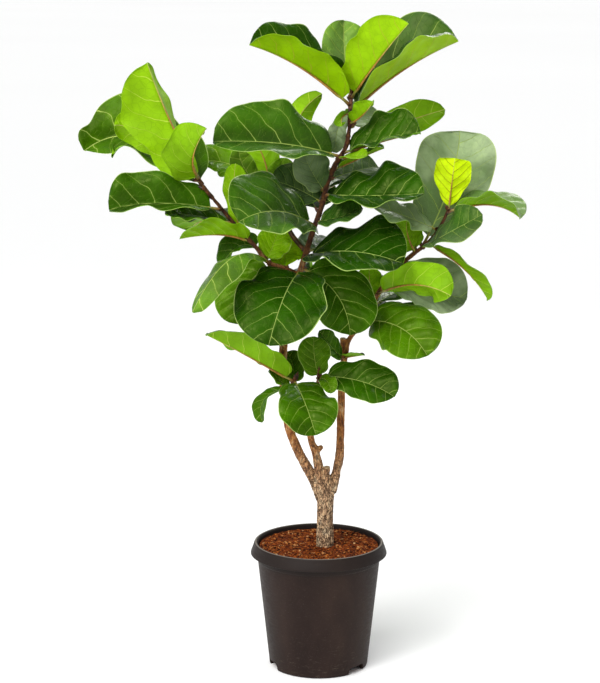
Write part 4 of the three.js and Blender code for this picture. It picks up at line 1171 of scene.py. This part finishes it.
section = [(0, 0.0112), (0.1, 0.0112), (0.1045, 0.0152), (SOIL_RADIUS, 0.246), (SOIL_RADIUS, 0.268)]
section += [(SOIL_RADIUS * (1 - i / SOIL_RINGS), SOIL_TOP) for i in range(SOIL_RINGS + 1)]
mesh = spun(section, SOIL_SIDES)
for vert in mesh.verts:
    if vert.co.z > TOP_FROM:
        vert.co.z = soil_height(vert.co.x, vert.co.y)
smooth_faces(mesh.faces)
soil = place_piece("potting_mix", mesh, "soil", [make_potting_mix()])
print("soil:", len(soil.data.polygons), "faces")

# %% Chips and fibres
CHIPS, FIBRES = 820, 110
CHIP_LENGTHS, CHIP_HEIGHTS, CHIP_LIFT = (0.0016, 0.0062), (0.001, 0.0026), 0.0003
FIBRE_LENGTHS, FIBRE_THICKNESS, FIBRE_LIFT = (0.008, 0.024), 0.0009, 0.0012
TRUNK_X, TRUNK_ROOM, WALL_ROOM = 0.014, 0.022, 0.005  # no chip lies nearer to the trunk or the wall
HUSK_BROWNS = [(0, "#120601"), (0.34, "#431804"), (0.66, "#883f14"), (0.9, "#b4743c"), (1, "#bf9566")]
draw = random.Random(21)
mesh = bmesh.new()
shade_layer = mesh.verts.layers.float.new("shade")


def scatter_place():
    """A seeded place on the soil, clear of the trunk."""
    while True:
        reach = (SOIL_RADIUS - WALL_ROOM) * math.sqrt(draw.random())
        x, y = turned(reach, 0, draw.uniform(0, 2 * math.pi))
        if math.hypot(x - TRUNK_X, y) > TRUNK_ROOM:
            return Vector((x, y, soil_height(x, y)))


def scattered(verts, size, lift):
    """Scales, turns and drops a few points onto the soil."""
    turn, tilt, shade = draw.uniform(0, math.pi), draw.uniform(-0.5, 0.5), draw.random()
    foot = scatter_place()
    for vert in verts:
        x, y, z = (a * b for a, b in zip(vert.co, size))
        x, z = turned(x, z, tilt)
        vert.co = foot + Vector((*turned(x, y, turn), z + lift))
        vert[shade_layer] = shade


for _ in range(CHIPS):
    verts = bmesh.ops.create_cube(mesh, size=1)["verts"]
    for vert in verts:
        vert.co += Vector([draw.uniform(-0.22, 0.22) for _ in range(3)])
    long = draw.uniform(*CHIP_LENGTHS)
    scattered(verts, (long, long * draw.uniform(0.35, 0.8), draw.uniform(*CHIP_HEIGHTS)), CHIP_LIFT)
for _ in range(FIBRES):
    verts = bmesh.ops.create_cone(mesh, cap_ends=True, segments=4, radius1=0.5, radius2=0.2, depth=1)["verts"]
    for vert in verts:
        vert.co = Vector((vert.co.z, vert.co.x, vert.co.y))
    scattered(verts, (draw.uniform(*FIBRE_LENGTHS), FIBRE_THICKNESS, FIBRE_THICKNESS), FIBRE_LIFT)
# chopped coconut husk, each chip in its own shade, from wet dark to dry pale; its fibres are 0.3 mm
# thick, and are drawn at 0.6 by 2.4 mm, so that they show
coco_chip = make_grained(
    "coco_husk_chip", (420, 3, 4), HUSK_BROWNS, (0.8, 1.0), 0.0008,
    shade="shade", light=(0.75, 1.2), specular=0.1,
)
place_piece("coco_chips", mesh, "soil", [coco_chip])
print(CHIPS, "chips and", FIBRES, "fibres")

# %% [markdown]
# ## The floor, the light and the camera
#
# The plant stands on a plain pale floor that runs to the horizon. The main light is one very broad
# source, high on the left in front: a sun lamp with a wide angle lights near and far floor alike, so the
# floor stays white, and its soft disc gives the waxy leaves their sheen. A soft box on the same side is
# nearer, and brightens the crown's front. A lamp behind rims the crown. The surround is white at the
# horizon and dimmer overhead, which keeps the leaves' green deep.

# %% Floor
def make_floor_paper():
    """Matt white backdrop paper, with the faintest clouds, metres across."""
    made, add, shader, where = new_material("floor_paper")
    cloud = add("TexNoise", {"Vector": where, "Scale": 0.05, "Detail": 2, "Roughness": 0.55})
    base = add("ValToRGB", (cloud,), stops=[(0.3, "#fcfcfb"), (0.7, "#fefefd")])
    finish_shader(add, shader, base, add("MapRange", (cloud, 0, 1, 0.8, 0.9), **EASED))
    return made


FLOOR_RADIUS = 400
mesh = bmesh.new()
bmesh.ops.create_circle(mesh, cap_ends=True, radius=FLOOR_RADIUS, segments=96)
floor = new_object("floor", mesh)
floor.data.materials.append(make_floor_paper())
print("the floor reaches", FLOOR_RADIUS, "m out")

# %% Light
PLANT_MIDDLE = Vector((0, 0, 0.9))


def add_lamp(name, kind, place, power, **settings):
    """A lamp that shines from its place towards the middle of the plant."""
    lamp = bpy.data.lights.new(name, kind)
    lamp.energy = power
    for setting, value in settings.items():
        setattr(lamp, setting, value)
    holder = bpy.data.objects.new(name, lamp)
    holder.location = place
    holder.rotation_euler = (PLANT_MIDDLE - Vector(place)).to_track_quat("-Z", "Y").to_euler()
    bpy.context.scene.collection.objects.link(holder)


add_lamp("broad_light", "SUN", (-1.6, -2.6, 4.0), 2.75, angle=math.radians(58))
add_lamp("soft_box", "AREA", (-1.5, -2.2, 2.7), 32, shape="SQUARE", size=0.9)
add_lamp("rim_light", "AREA", (1.2, 2.4, 3.0), 45, shape="DISK", size=1.6)

world = bpy.data.worlds.new("studio")
bpy.context.scene.world = world
world.use_nodes = True
world.node_tree.nodes.clear()
add = functools.partial(add_node, world.node_tree)
upward = add("SeparateXYZ", (add("TexCoord", out="Generated"),), out=2)
upward = add("Math", (upward,), operation="ABSOLUTE")
strength = add("MapRange", (upward, 0.0, 0.25, 1.25, 0.41), **EASED)
add("OutputWorld", {"Surface": add("Background", {"Color": colour("#fcfdff"), "Strength": strength})})
bpy.context.scene.view_settings.view_transform = "Standard"
print("one broad light, a soft box, a rim light and a dim surround")

# %% Camera
CAMERA_PLACE, CAMERA_TILT, LENS = (-0.042, -4.163, 1.526), 79.3, 101.57
lens = bpy.data.cameras.new("camera")
lens.lens, lens.sensor_width = LENS, 36
camera = bpy.data.objects.new("camera", lens)
camera.location = CAMERA_PLACE
camera.rotation_euler = (math.radians(CAMERA_TILT), 0, 0)
bpy.context.scene.collection.objects.link(camera)
bpy.context.scene.camera = camera
print("camera", round(-CAMERA_PLACE[1], 2), "m in front of the plant")
